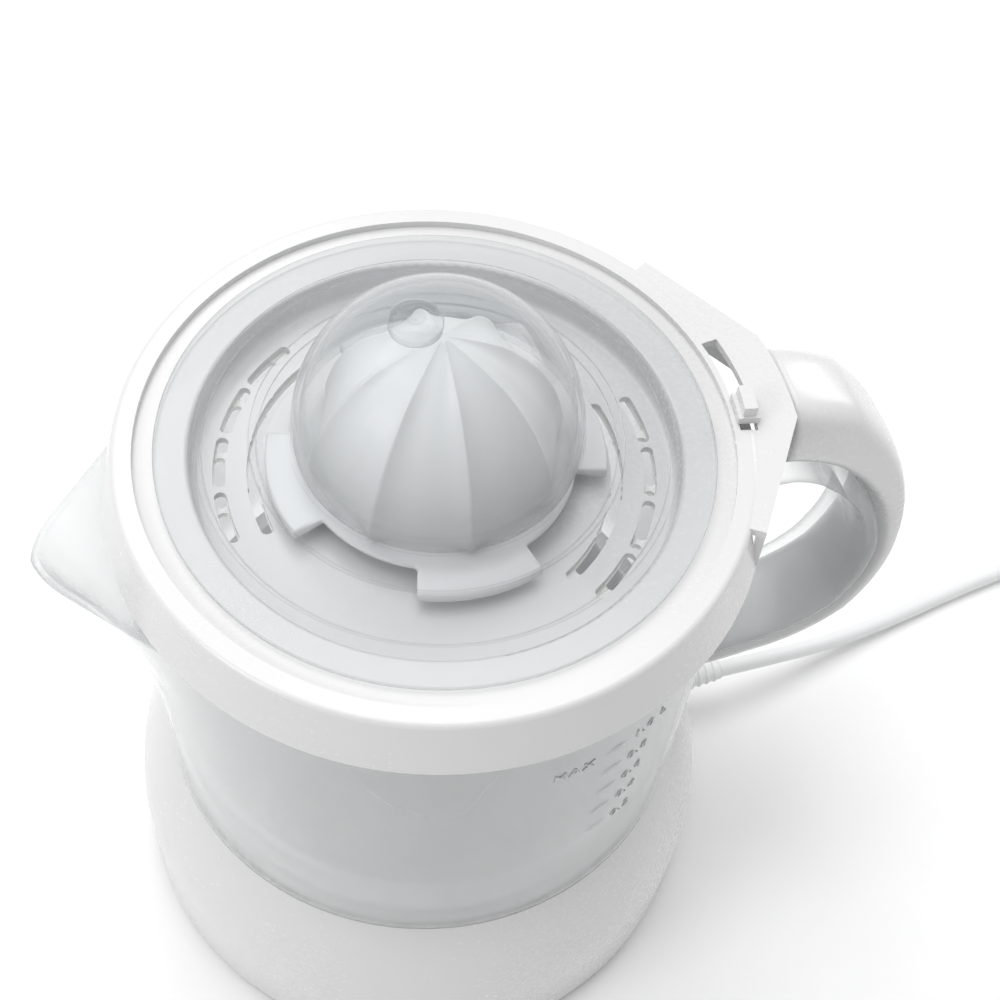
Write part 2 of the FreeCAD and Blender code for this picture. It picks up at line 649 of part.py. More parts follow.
def beak(inset, sink, top_height):
    """Keel shaped wedge on the -X side, lofted from a narrow foot on the wall up to the full lip."""
    jug_radius, reach = number("jug_top_radius"), number("spout_reach")
    half, top, back = number("spout_half_width"), number("spout_top"), number("jug_top_radius") - 21
    levels = ((top - 70, 0.0, 0.12), (top - 42, 0.22, 0.40), (top - 18, 0.66, 0.74), (top, 1.0, 1.0))
    wires = []
    for height, out, breadth in levels:
        tip = -(jug_radius - 3 + (reach - jug_radius + 3) * out - inset)
        side = max(half * breadth - inset, 0.8)
        shoulder = (tip + 7 * breadth, side * 0.3)
        nose = (tip, side * 0.11)
        corners = [(-back, -side), (-back, side), shoulder, nose, (nose[0], -nose[1]),
                   (shoulder[0], -shoulder[1]), (-back, -side)]
        wires.append(Part.makePolygon([V(x, y, height + sink) for x, y in corners]))
    solid = Part.makeLoft(wires, True, True)
    if top_height > top:
        lid = Part.Face(wires[-1]).extrude(V(0, 0, top_height - top))
        solid = solid.fuse(lid)
    return solid


def jug_core():
    """The space inside the jug wall as a solid cone frustum."""
    low, high, wall = number("ledge_height"), number("rim_height"), number("jug_wall")
    return Part.makeCone(number("jug_foot_radius") - wall / 2, number("jug_top_radius") - wall / 2,
                         high - low, V(0, 0, low))


def level_marks():
    """Raised oval dots on the wall, one for every fifth of a litre."""
    marks = []
    for k in range(5):
        height = number("full_mark_height") - k * number("mark_step")
        dot = Part.makeSphere(1)
        spread = FreeCAD.Matrix()
        spread.scale(number("mark_depth"), number("mark_half_length"), number("mark_half_height"))
        dot = dot.transformGeometry(spread)
        dot.translate(V(jug_outer(height).value - 0.4, 0, height))
        dot.rotate(V(0, 0, 0), V(0, 0, 1), number("mark_angle"))
        marks.append(dot)
    return marks


def whole_jug():
    """The jug with its beak opened into the wall and the notch for the pulp lever."""
    wall = number("jug_wall")
    beak_part = doc.addObject("Part::Feature", "BeakShell")
    beak_part.Shape = beak(0, 0, 0).cut(jug_core())
    hollow = doc.addObject("Part::Feature", "BeakHollow")
    hollow.Shape = beak(wall, wall, number("rim_height") + 5)
    marks = doc.addObject("Part::Feature", "LevelMarks")
    marks.Shape = Part.makeCompound(level_marks())
    notch = new_body("LeverNotch")
    half = size("notch_half_angle")
    rim = size("rim_height")
    extrude(notch, [arc_slot(size("jug_top_radius") - 2, 12, -half, half)], rim - size("notch_depth"),
            rim + 2)
    solid = joined("JugSolid", [jug(), beak_part, marks])
    return keep(less("WholeJug", solid, [hollow, notch]), "jug")


def handle_lines():
    """The three side outlines of the handle, as corners of radius, height and arc."""
    top = size("ring_height")
    reach, gap, start = size("handle_reach"), size("handle_gap_reach"), size("handle_start")
    root = size("jug_foot_radius") - 2
    outer = [(start + 20.4, top - 9, -60), (reach, top - 72, -85), (reach - 9, top - 106, -60),
             (reach - 39, top - 120.5, -45), (root, top - 123, -110)]
    middle = [(start + 19.4, top - 34, -45), (reach - 5.5, top - 76, -60), (reach - 13.5, top - 104, -50),
              (reach - 41, top - 116.5, -42), (root, top - 119.4, -110)]
    inner = [(root, top - 31), (start + 5, top - 32), (start + 15.5, top - 39, -20), (gap, top - 76, -55),
             (gap - 7.5, top - 98, -44), (gap - 31, top - 110.5, -36), (root, top - 113, -110)]
    return outer, middle, inner


def back_again(points, start):
    """The same line drawn the other way, from its last corner to the given start."""
    corners = [start] + points
    result = [corners[-1][:2]]
    for k in range(len(corners) - 1, 0, -1):
        arc = corners[k][2] if len(corners[k]) == 3 else None
        result.append(corners[k - 1][:2] + ((-Size.of(arc),) if arc is not None else ()))
    return result


def cut_to_jug(body):
    """Trim the handle's ends to the outside of the jug wall."""
    low, high = size("ledge_height") - 12, size("rim_height") + 4
    revolve(body, [(0, low), (jug_outer(low), low), (jug_outer(high), high), (0, high)], "Groove", "JugWall")


def handle_cover():
    """White outer half of the handle."""
    outer, middle, _ = handle_lines()
    top, start = size("ring_height"), size("handle_start")
    body = new_body("HandleCover")
    first = (start, top - 0.8)
    last = (start, top - 25)
    points = [first] + outer + back_again(middle, last)
    pad_across(body, points, size("handle_half_width"))
    cut_to_jug(body)
    return keep(body, "handle_cover")


def handle_channel():
    """Clear inner half of the handle, a gutter that opens towards the fingers."""
    _, middle, inner = handle_lines()
    top, start = size("ring_height"), size("handle_start")
    root = size("jug_foot_radius") - 2
    body = new_body("HandleChannel")
    points = [(root, top - 25), (start, top - 25)] + middle + back_again(inner[1:], inner[0])
    pad_across(body, points, size("handle_half_width"))
    cut_to_jug(body)
    return keep(body, "handle_channel")


# ---------------------------------------------------------------- strainer and pulp control

def tab_outline(inset, inner):
    """Plan outline of the tab: tangents from the skirt circle, closed by an arc at the handle."""
    skirt, reach = size("ring_skirt_radius") - inset, size("tab_radius") - inset
    angle = size("tab_tangent_angle").value
    spread = angle - math.degrees(math.acos(skirt.value / reach.value))
    return [polar(inner, -angle) + (-Size.of(inner),), polar(skirt, -angle), polar(reach, -spread),
            polar(reach, spread) + (reach,), polar(skirt, angle), polar(inner, angle)]


def arc_slot(radius, width, from_angle, to_angle, rounded=False):
    """Outline of a slot that follows a circle about the origin, with square or round ends."""
    low, high = Size.of(radius) - Size.of(width) / 2, Size.of(radius) + Size.of(width) / 2
    end = (Size.of(width) * 0.51,) if rounded else ()
    return [polar(low, to_angle) + end, polar(low, from_angle) + (low * -1,),
            polar(high, from_angle) + end, polar(high, to_angle) + (high,)]


def ring_slot(radius, width, middle, length):
    """A curved slot that follows a circle about the axis."""
    spread = math.degrees(Size.of(length).value / Size.of(radius).value) / 2
    return arc_slot(radius, width, middle - spread, middle + spread, rounded=True)


SLOT_COLUMNS = [-51, -33, -15, 3, 129, 147, 165, 183]


def strainer():
    """Ring, tray and hub in one moulding, with the slotted floor and the tab over the handle."""
    top, seat = size("ring_height"), size("seat_top")
    skirt, wall = size("ring_skirt_radius"), size("ring_skirt_wall")
    tray, floor = size("tray_wall_radius"), size("tray_top")
    body = new_body("Strainer")
    revolve(body, [
        (size("sleeve_inner"), floor - 2), (size("sleeve_inner"), size("sleeve_top")),
        (size("sleeve_outer"), size("sleeve_top")), (size("sleeve_outer"), floor), (tray - 2, floor),
        (tray, floor + 2, 2), (tray, seat - 1), (tray + 1, seat, -1),
        (size("ring_step_radius"), seat), (size("ring_step_radius"), top),
        (size("ring_top_radius") - 1.5, top), (size("ring_top_radius"), top - 1, -1.9),
        (skirt, size("skirt_bottom")), (skirt - wall, size("skirt_bottom")),
        (size("ring_top_radius") - wall + 1, top - size("ring_plate")),
        (size("jug_top_radius") - size("jug_wall") - 0.4, top - size("ring_plate")),
        (size("jug_top_radius") - size("jug_wall") - 0.4, size("seat_bottom")),
        (tray + size("tray_wall") + 1, size("seat_bottom")),
        (tray + size("tray_wall"), size("seat_bottom") - 1, 1), (tray + size("tray_wall"), floor),
        (tray, size("tray_bottom"), -2), (size("hub_outer"), size("tray_bottom")),
        (size("hub_outer"), size("lip_top")), (size("lip_radius"), size("lip_top") - 0.4),
        (size("hub_outer"), size("lip_top") - 1.6), (size("hub_outer"), size("hub_bottom")),
        (size("hub_inner"), size("hub_bottom")), (size("hub_inner"), floor - 2),
    ])
    bridge_low, bridge_high = size("skirt_bottom"), top
    extrude(body, [tab_outline(0, size("ring_top_radius") - 1)], bridge_low, bridge_high - 0.2, name="Tab")
    extrude(body, [tab_outline(wall, size("jug_top_radius") - size("jug_wall"))], bridge_low,
            top - size("ring_plate"), "Pocket", "TabHollow")
    half = size("slider_half_angle")
    extrude(body, [arc_slot(size("slider_radius"), size("slider_slot_width"), -half, half)],
            top - size("ring_plate"), top, "Pocket", "SliderSlot")
    slots = [ring_slot(r, size("slot_width"), a, size("slot_length"))
             for r in (size("slot_row_one"), size("slot_row_two")) for a in SLOT_COLUMNS]
    extrude(body, slots, size("tray_bottom"), floor, "Pocket", "TraySlots")
    return keep(body, "strainer")


def pulp_disc():
    """Turning disc under the tray with matching slots, and the arm that comes up to the knob."""
    low, high = size("disc_bottom"), size("disc_top")
    inner = size("hub_outer") + size("disc_fit")
    rest = CELLS["knob_rest_angle"]
    body = new_body("PulpDisc")
    extrude(body, [(0, 0, size("disc_radius")), (0, 0, inner)], low, high, name="Disc")
    slots = [ring_slot(r, size("slot_width"), a + 5, size("slot_length"))
             for r in (size("slot_row_one"), size("slot_row_two")) for a in SLOT_COLUMNS]
    extrude(body, slots, low, high, "Pocket", "DiscSlots")
    half, outer = 3.2, size("arm_riser_outer")
    middle = (size("disc_radius") + outer) / 2 - 1
    extrude(body, [arc_slot(middle, outer - size("disc_radius") + 2, rest - half, rest + half)], low, high,
            name="Arm")
    riser = (size("arm_riser_radius") + outer) / 2
    extrude(body, [arc_slot(riser, outer - size("arm_riser_radius"), rest - half, rest + half)], low,
            size("arm_top"), name="Riser")
    reach = (size("arm_riser_radius") + size("arm_outer")) / 2
    extrude(body, [arc_slot(reach, size("arm_outer") - size("arm_riser_radius"), rest - half, rest + half)],
            size("arm_top") - size("arm_thickness"), size("arm_top"), name="Reach")
    x, y = polar(size("slider_radius"), size("knob_rest_angle"))
    extrude(body, [(x, y, size("knob_stem_radius"))], size("arm_top") - 0.5, size("ring_height") + 2.4,
            name="Stem")
    return keep(body, "pulp_control_disc")


def pulp_knob():
    """Ribbed cap pressed on the stem of the pulp control."""
    low = size("ring_height") + 0.3
    x, y = polar(size("slider_radius"), size("knob_rest_angle"))
    body = new_body("PulpKnob")
    rest, radius = CELLS["knob_rest_angle"], size("slider_radius")
    extrude(body, [arc_slot(radius, 5.6, rest - 3.2, rest + 3.2)], low, low + 2.2, name="Cap")
    extrude(body, [arc_slot(radius, 3.4, rest - 2.8, rest + 2.8)], low + 2, low + 5.4, name="Grip")
    extrude(body, [(x, y, size("knob_stem_radius"))], low, size("ring_height") + 2.4, "Pocket", "StemHole")
    return keep(body, "pulp_control_knob")


# ---------------------------------------------------------------- reamers and lid

def ogive(radius, low, tip, bulge):
    """Half outline of a pointed dome on the axis."""
    return [(0, low), (radius, low), (radius, low + 6), (0, tip, bulge)]


def add_ribs(body, radius, low, tip, bulge, count):
    """Sharp ribs from the foot up to the tip, repeated round the dome."""
    rib = pad_across(body, [(0, low), (radius, low), (radius, low + 5), (0, tip, bulge)],
                     size("rib_half_width"), name="Rib")
    around(body, [rib], count, "Ribs")


def socket_hollow(body, low, high):
    """Cut the hexagonal socket that the shaft's head drives."""
    radius = size("shaft_radius") + size("socket_fit")
    corners = [polar(radius, 60 * k) for k in range(6)]
    extrude(body, [corners], low, high, "Pocket", "Socket")


def small_reamer():
    """Inner cone for small fruit: it carries the driven socket."""
    low, radius, tip = size("reamer_bottom"), size("small_reamer_radius"), size("small_reamer_tip")
    body = new_body("SmallReamer")
    revolve(body, ogive(radius, low, tip, 48))
    extrude(body, [(0, 0, size("small_flange_radius"))], low, low + 1.6, name="Flange")
    add_ribs(body, radius + 2, low, tip, 52, 6)
    wall = size("reamer_wall")
    inner, roof = radius - wall, size("sleeve_top") + 3
    revolve(body, [(size("socket_radius"), low - 1), (inner, low - 1), (inner, low + 6),
                   (size("sleeve_outer") + 1.2, roof, 48), (size("socket_radius"), roof)],
            "Groove", "Hollow")
    socket_hollow(body, low - 1, size("shaft_top") + 0.1)
    return keep(body, "small_reamer")


def large_reamer():
    """Outer cone for large fruit, dropped over the small one and turned by its ribs."""
    low, radius, tip = size("reamer_bottom"), size("large_reamer_radius"), size("large_reamer_tip")
    flange = low + 2
    body = new_body("LargeReamer")
    revolve(body, [(0, flange), (size("large_core_radius"), flange), (size("large_core_radius"), low + 8),
                   (0, tip - 3, 52)])
    extrude(body, [(0, 0, size("large_flange_radius"))], flange, flange + 1.6, name="Flange")
    tab = [arc_slot((size("large_flange_radius") + size("large_tab_radius")) / 2 - 1,
                    size("large_tab_radius") - size("large_flange_radius") + 2, -22, 22)]
    sweeper = extrude(body, tab, low + 0.2, flange + 0.8, name="Sweeper")
    around(body, [sweeper], 4, "Sweepers")
    add_ribs(body, radius, flange, tip, 54, 8)
    inner, peak = size("large_core_radius") - size("reamer_wall"), tip - 3 - size("reamer_wall") * 2
    revolve(body, [(0, low), (inner, low), (inner, low + 8), (inner * 0.8, low + 19),
                   (inner * 0.44, low + 32), (0, peak)], "Groove", "Hollow")
    return keep(body, "large_reamer")


def lid():
    """Clear lid: flat brim on the ring's seat, a stepped foot and a domed middle."""
    seat, wall, brim = size("seat_top"), size("lid_wall"), size("lid_radius")
    step, foot, dome, centre = (size("lid_step_radius"), size("lid_foot_radius"), size("dome_radius"),
                                size("dome_centre"))
    body = new_body("Lid")
    revolve(body, [
        (0, centre + dome - wall), (dome - wall, centre, wall - dome),
        (dome - wall + 0.6, seat + 5), (foot - wall, seat + 3.4), (foot - wall, seat + 1.8),
        (step - wall, seat + 1.8), (step - wall, seat + 0.2), (step - wall + 0.2, seat), (brim, seat),
        (brim, seat + 2.4), (step, seat + 2.4), (step, seat + 3.6), (foot, seat + 3.6), (foot, seat + 5.2),
        (dome + 2.2, seat + 5.8), (dome, centre, -8), (0, centre + dome, dome),
    ])
    x, y = polar(size("lid_knob_offset"), size("lid_knob_angle"))
    top = centre + dome
    extrude(body, [(x, y, size("lid_knob_radius"))], top - 3.2, top + 1.4, name="Knob")
    return keep(body, "lid")


# ---------------------------------------------------------------- cord

# Corners of the cord's free stretch, from the relief's mouth to the coil, laid by hand.
CORD_ROUTE = [V(109.0, 10.4, 14.0), V(129.0, 11.4, 12.4), V(153.0, 15.0, 6.2), V(181.0, 20.4, 2.75),
              V(212.0, 27.0, 2.75), V(243.0, 31.5, 2.75)]


def rounded_path(corners):
    """Straight runs joined by tangent arcs, each as large as its two runs allow."""
    edges, start = [], corners[0]
    for before, corner, after in zip(corners, corners[1:], corners[2:]):
        arrive, leave = (corner - before), (after - corner)
        shorter = min(arrive.Length, leave.Length)
        turn = arrive.getAngle(leave)
        radius = 0.45 * shorter / math.tan(turn / 2)
        print("cord arc radius %.0f mm, turn %.1f degrees" % (radius, math.degrees(turn)))
        into, out = arrive.normalize(), leave.normalize()
        first, last = corner - into * 0.45 * shorter, corner + out * 0.45 * shorter
        inward = (out - into).normalize()
        centre = corner + inward * (radius / math.cos(turn / 2))
        edges.append(Part.LineSegment(start, first).toShape())
        edges.append(Part.Arc(first, centre - inward * radius, last).toShape())
        start = last
    edges.append(Part.LineSegment(start, corners[-1]).toShape())
    return Part.Wire(edges)


def cord_tube():
    """The free stretch of the cord as one round tube."""
    radius = number("cord_radius")
    path = rounded_path(CORD_ROUTE)
    section = Part.Wire(Part.makeCircle(radius, CORD_ROUTE[0], CORD_ROUTE[1] - CORD_ROUTE[0]))
    tube = path.makePipeShell([section], True, False)
    print("cord tube %.1f mm long, volume ratio %.4f" % (
        path.Length, tube.Volume / (math.pi * radius * radius * path.Length)))
    feature("CordTube", "cord", tube)


def strain_relief():
    """Flexible tapered sleeve, seated in the housing wall and pointing straight out of it."""
    radius, root, length = number("cord_radius"), number("relief_root_radius"), number("relief_length")
    mouth, along = CORD_ROUTE[0], V(1, 0, 0)
    start = mouth - along * length
    taper = Part.makeCone(root, radius + 0.5, length, start, along)
    plug = Part.makeCylinder(root - 1.2, 14, start - along * 10, along)
    wall = Part.makeCylinder(number("base_belly_radius") + 0.3, 40)
    feature("StrainRelief", "strain_relief", taper.cut(wall).fuse(plug).removeSplitter())


def coil_and_plug():
    """Wound length of cord, the tie that holds it and the two pin plug at its end."""
    radius, turn = number("cord_radius"), number("coil_turn_radius")
    band, tall, lift = number("coil_half_band"), number("coil_height"), 0.9
    arrive = CORD_ROUTE[-1] - CORD_ROUTE[-2]
    along = V(arrive.x, arrive.y, 0).normalize()
    aside = V(along.y, -along.x, 0)
    entry, stub = CORD_ROUTE[-1], 28.0
    centre = entry + along * stub + aside * (turn + 2 * radius - 0.6)
    base = V(centre.x, centre.y, lift)
    ring = Part.makeCylinder(turn + band, tall, base).cut(Part.makeCylinder(turn - band, tall, base))
    stub_in = Part.makeCylinder(radius, stub, entry, along)
    plug_height = 7.0
    leave = V(entry.x, entry.y, plug_height) + along * stub
    stub_out = Part.makeCylinder(radius, stub, leave, along)
    coil = ring.fuse([stub_in, stub_out]).removeSplitter()
    feature("CordCoil", "cord_coil", coil)

    across = centre + aside * turn
    band_box = Part.makeBox(8, 2 * band + 1.8, tall + 1.8, V(-4, -band - 0.9, 0))
    band_box.Placement = FreeCAD.Placement(V(across.x, across.y, 0), FreeCAD.Rotation(V(1, 0, 0), along))
    feature("CordTie", "cord_tie", band_box.cut(ring))

    tail = leave + along * stub
    profile = [V(0, -4, 0), V(12, -7, 0), V(30, -13, 0), V(36, -13, 0), V(36, 13, 0), V(30, 13, 0),
               V(12, 7, 0), V(0, 4, 0), V(0, -4, 0)]
    body = Part.Face(Part.makePolygon(profile)).extrude(V(0, 0, 13))
    body.Placement = FreeCAD.Placement(V(tail.x, tail.y, 0.5), FreeCAD.Rotation(V(1, 0, 0), along))
    pins = []
    side = V(-along.y, along.x, 0)
    for offset in (-9.5, 9.5):
        foot = tail + along * 36 + side * offset
        pins.append(Part.makeCylinder(2.0, 17, foot, along).fuse(
            Part.makeSphere(2.0, foot + along * 17)))
    feature("PlugBody", "plug_body", body)
    feature("PlugPins", "plug_pins", Part.makeCompound(pins))


# ---------------------------------------------------------------- build, check and write

def check_document():
    """Stop if any object of the document failed or any finished shape is unsound."""
    for item in doc.Objects:
        if "Invalid" in item.State or "Error" in item.State:
            raise RuntimeError("%s: %s" % (item.Name, item.State))
    for item in EXPORTS:
        if item.Shape.isNull() or not item.Shape.isValid():
            raise RuntimeError("%s has no valid shape" % item.Label)
        print("%-22s %2d solids %10.1f mm3" % (item.Label, len(item.Shape.Solids), item.Shape.Volume))


def main():
    """Build every node, check it and write its STEP file."""
    for build in (base_housing, bottom_cover, cover_screws, rubber_feet, gear_chassis, gear_plate,
                  plate_screws, stator_core, winding, rotor, gears, idler_pin, switch_and_cup,
                  return_spring, drive_shaft, whole_jug, handle_cover, handle_channel, strainer,
                  pulp_disc, pulp_knob, small_reamer, large_reamer, lid, cord_tube, strain_relief,
                  coil_and_plug):
        build()
        print("built", build.__name__)
    bush("LowerBush", "lower_shaft_bush", size("chassis_top") - 5, size("chassis_top"))
    bush("UpperBush", "upper_shaft_bush", size("tower_height") - 12, size("tower_height"))
    doc.recompute()
    check_document()
    os.makedirs("parts", exist_ok=True)
    for item in EXPORTS:
        item.Shape.exportStep("parts/%s.step" % item.Label)


main()
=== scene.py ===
"""Looks of an electric citrus press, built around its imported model: finishes, cord, light and camera."""

import json
import logging
import math
from collections.abc import Callable, Sequence
from dataclasses import dataclass
from enum import Enum

import bmesh
import bpy
from mathutils import Matrix, Vector


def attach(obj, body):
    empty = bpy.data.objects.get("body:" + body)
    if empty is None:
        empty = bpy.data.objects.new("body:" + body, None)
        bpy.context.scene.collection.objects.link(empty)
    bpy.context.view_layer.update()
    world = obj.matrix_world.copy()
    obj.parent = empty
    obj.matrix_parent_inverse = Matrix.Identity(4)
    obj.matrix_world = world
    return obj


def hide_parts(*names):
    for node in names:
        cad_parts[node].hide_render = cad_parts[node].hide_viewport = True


logging.basicConfig(level=logging.INFO, format="%(message)s")
LOG = logging.getLogger("citrus_press")
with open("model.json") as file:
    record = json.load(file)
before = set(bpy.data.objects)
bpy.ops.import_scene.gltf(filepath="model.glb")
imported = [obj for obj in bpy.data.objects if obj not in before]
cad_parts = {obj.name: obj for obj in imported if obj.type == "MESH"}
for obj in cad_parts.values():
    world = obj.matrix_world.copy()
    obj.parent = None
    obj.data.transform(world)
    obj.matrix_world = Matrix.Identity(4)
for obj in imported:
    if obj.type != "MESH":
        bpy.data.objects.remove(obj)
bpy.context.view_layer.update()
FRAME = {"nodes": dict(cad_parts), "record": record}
MM = 0.001


class Body(Enum):
    """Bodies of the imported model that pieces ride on."""

    BASE = "base"
    SHAFT = "drive_shaft"
    JUG = "jug"
    STRAINER = "strainer"
    PULP = "pulp_control"
    SMALL_REAMER = "small_reamer"
    LARGE_REAMER = "large_reamer"
    LID = "lid"


# ---------------------------------------------------------------- shader and geometry trees

class Wire:
    """An output socket of a shader tree that can stand in sums and products."""

    def __init__(self, paint: "Paint", socket: bpy.types.NodeSocket) -> None:
        """Wrap one socket of a material's tree."""
        self.paint, self.socket = paint, socket

    def _sum(self, operation: str, first: object, second: object) -> "Wire":
        """Add one Math node and return its result."""
        return self.paint.node("ShaderNodeMath", {"operation": operation}, {0: first, 1: second})

    def __add__(self, other: object) -> "Wire":
        """Sum of this value and another."""
        return self._sum("ADD", self, other)

    def __sub__(self, other: object) -> "Wire":
        """Difference of this value and another."""
        return self._sum("SUBTRACT", self, other)

    def __rsub__(self, other: object) -> "Wire":
        """Difference of another value and this one."""
        return self._sum("SUBTRACT", other, self)

    def __mul__(self, other: object) -> "Wire":
        """Product of this value and another."""
        return self._sum("MULTIPLY", self, other)

    __radd__, __rmul__ = __add__, __mul__


class Paint:
    """A new material and its node tree."""

    def __init__(self, name: str) -> None:
        """Start an empty material with that name."""
        self.material = bpy.data.materials.new(name)
        self.material.use_nodes = True
        self.tree = self.material.node_tree
        self.tree.nodes.clear()

    def node(self, kind: str, settings: dict[str, object] | None = None,
             values: dict[object, object] | None = None, output: object = 0) -> Wire:
        """Add one node.

        Args:
            kind: the node's type.
            settings: its properties; for a ramp, "stops" holds (place, colour) pairs.
            values: what goes into its sockets, as numbers, tuples or wires.
            output: which of its outputs is returned.

        Returns:
            The wire that leaves the chosen output.
        """
        made = self.tree.nodes.new(kind)
        for key, value in (settings or {}).items():
            if key == "stops":
                for k, (place, colour) in enumerate(value):
                    stop = made.color_ramp.elements[k] if k < 2 else made.color_ramp.elements.new(place)
                    stop.position, stop.color = place, colour
            else:
                setattr(made, key, value)
        for key, value in (values or {}).items():
            if isinstance(value, Wire):
                self.tree.links.new(value.socket, made.inputs[key])
            else:
                made.inputs[key].default_value = value
        return Wire(self, made.outputs[output])

    def place(self, scale: float | Sequence[float] = 1.0) -> Wire:
        """Object coordinates, stretched by a scale for each axis."""
        axes = (scale,) * 3 if isinstance(scale, (int, float)) else tuple(scale)
        here = self.node("ShaderNodeTexCoord", output="Object")
        return self.node("ShaderNodeMapping", values={"Vector": here, "Scale": axes})

    def noise(self, scale: float, detail: float = 3.0, stretch: Sequence[float] | float = 1.0) -> Wire:
        """Soft noise of a number of cells to the metre."""
        return self.node("ShaderNodeTexNoise", values={"Vector": self.place(stretch), "Scale": scale,
                                                       "Detail": detail, "Roughness": 0.55})

    def between(self, factor: Wire, low: Sequence[float], high: Sequence[float]) -> Wire:
        """A colour that runs from low to high with a factor."""
        return self.node("ShaderNodeMix", {"data_type": "RGBA"},
                         {0: factor, 6: (*low, 1.0), 7: (*high, 1.0)}, output=2)

    def bump(self, height: Wire, strength: float, distance: float) -> Wire:
        """A bumped normal."""
        return self.node("ShaderNodeBump", values={"Height": height, "Strength": strength,
                                                   "Distance": distance})

    def finish(self, shader: Wire) -> bpy.types.Material:
        """Close the tree with a shader and hand the material over."""
        end = self.tree.nodes.new("ShaderNodeOutputMaterial")
        self.tree.links.new(shader.socket, end.inputs["Surface"])
        return self.material


class Grower:
    """A geometry tree with named inputs, run once on a base mesh or curve and turned into a mesh."""

    def __init__(self, name: str) -> None:
        """Start a tree with one geometry input and output."""
        self.tree = bpy.data.node_groups.new(name, "GeometryNodeTree")
        self.tree.interface.new_socket("Geometry", in_out="INPUT", socket_type="NodeSocketGeometry")
        self.tree.interface.new_socket("Geometry", in_out="OUTPUT", socket_type="NodeSocketGeometry")
        self.inlet = self.tree.nodes.new("NodeGroupInput")
        self.values: dict[str, object] = {}

    def size(self, name: str, value: float | int) -> bpy.types.NodeSocket:
        """Add a named input, whole or real as its value is, and return its socket in the tree."""
        kind = "NodeSocketInt" if isinstance(value, int) else "NodeSocketFloat"
        item = self.tree.interface.new_socket(name, in_out="INPUT", socket_type=kind)
        self.values[item.identifier] = value
        return self.inlet.outputs[name]

    def node(self, kind: str, settings: dict[str, object] | None = None,
             values: dict[object, object] | None = None) -> bpy.types.Node:
        """Add one node with its settings and the values or sockets of its inputs."""
        made = self.tree.nodes.new(kind)
        for key, value in (settings or {}).items():
            setattr(made, key, value)
        for key, value in (values or {}).items():
            if isinstance(value, bpy.types.NodeSocket):
                self.tree.links.new(value, made.inputs[key])
            else:
                made.inputs[key].default_value = value
        return made

    def grow(self, result: bpy.types.NodeSocket, name: str, material: bpy.types.Material,
             start: bpy.types.Object | None = None) -> bpy.types.Object:
        """Realize the result, give it its material and return it as a plain mesh object.

        Args:
            result: the geometry to keep.
            name: the new piece's name.
            material: its finish.
            start: an object whose geometry enters the tree; it is removed afterwards.

        Returns:
            The finished piece.
        """
        real = self.node("GeometryNodeRealizeInstances", values={0: result})
        smooth = self.node("GeometryNodeSetShadeSmooth", values={0: real.outputs[0], "Shade Smooth": True})
        dressed = self.node("GeometryNodeSetMaterial", values={0: smooth.outputs[0], "Material": material})
        end = self.tree.nodes.new("NodeGroupOutput")
        self.tree.links.new(dressed.outputs[0], end.inputs[0])
        holder = start or new_object(name + "_seed", bpy.data.meshes.new(name + "_seed"))
        growth = holder.modifiers.new("growth", "NODES")
        growth.node_group = self.tree
        for identifier, value in self.values.items():
            growth[identifier] = value
        bpy.context.view_layer.update()
        graph = bpy.context.evaluated_depsgraph_get()
        mesh = bpy.data.meshes.new_from_object(holder.evaluated_get(graph), depsgraph=graph)
        holder.modifiers.remove(growth)
        bpy.data.objects.remove(holder)
        piece = new_object(name, mesh)
        return piece


# ---------------------------------------------------------------- finishes

@dataclass(frozen=True)
class Moulding:
    """Moulded opaque plastic: faint clouding, a fine skin and a soft gloss."""

    name: str
    colour: tuple[float, float, float]
    roughness: float = 0.28
    grain: float = 650.0
    relief: float = 0.015
    coat: float = 0.1
    cloud: float = 0.02

    def make(self) -> bpy.types.Material:
        """Build the material."""
        paint = Paint(self.name)
        cloud = paint.noise(14.0)
        skin = paint.noise(self.grain, 2.0)
        deep = tuple(max(channel - self.cloud, 0.0) for channel in self.colour)
        return paint.finish(paint.node("ShaderNodeBsdfPrincipled", values={
            "Base Color": paint.between(cloud, deep, self.colour),
            "Roughness": cloud * 0.1 + skin * 0.08 + (self.roughness - 0.09),
            "Normal": paint.bump(skin, self.relief, 0.0002),
            "Coat Weight": self.coat, "Coat Roughness": 0.12}))


@dataclass(frozen=True)
class ClearMoulding:
    """Clear plastic wall: see-through face on, bright and greyer at a glancing angle; the brightness there is
    real reflection and the grey is painted shade for the dark rims of thick clear plastic.
    """

    name: str
    tint: tuple[float, float, float] = (0.985, 0.99, 0.992)
    # skin is the colour of the glancing layer: its grey is painted shade for the dark rims of thick clear
    # plastic, and edge sets how much of it shows
    skin: tuple[float, float, float] = (0.52, 0.535, 0.54)
    edge: float = 0.97
    base: float = 0.03
    haze: float = 0.02
    rim: float = 0.5
    falloff: float = 2.0

    def make(self) -> bpy.types.Material:
        """Build the material."""
        paint = Paint(self.name)
        flow = paint.noise(38.0, 2.0, (1.0, 1.0, 0.45))
        ripple = paint.bump(flow, 0.12, 0.0012)
        facing = paint.node("ShaderNodeLayerWeight", values={"Blend": self.rim, "Normal": ripple},
                            output="Facing")
        deep = tuple(channel * 0.86 for channel in self.skin)
        see = paint.node("ShaderNodeBsdfTransparent", values={"Color": (*self.tint, 1.0)})
        # the glancing layer: real specular reflection over a grey base colour that is painted rim shade
        skin = paint.node("ShaderNodeBsdfPrincipled", values={
            "Base Color": paint.between(flow, deep, self.skin),
            "Roughness": flow * 0.04 + self.haze, "Normal": ripple, "IOR": 1.57,
            "Specular IOR Level": 0.8})
        # share of painted rim shade, rising towards a glancing angle, with base as its face-on share
        share = paint.node("ShaderNodeMath", {"operation": "POWER"}, {0: facing, 1: self.falloff}) * self.edge
        return paint.finish(paint.node("ShaderNodeMixShader", values={0: share + self.base, 1: see, 2: skin}))


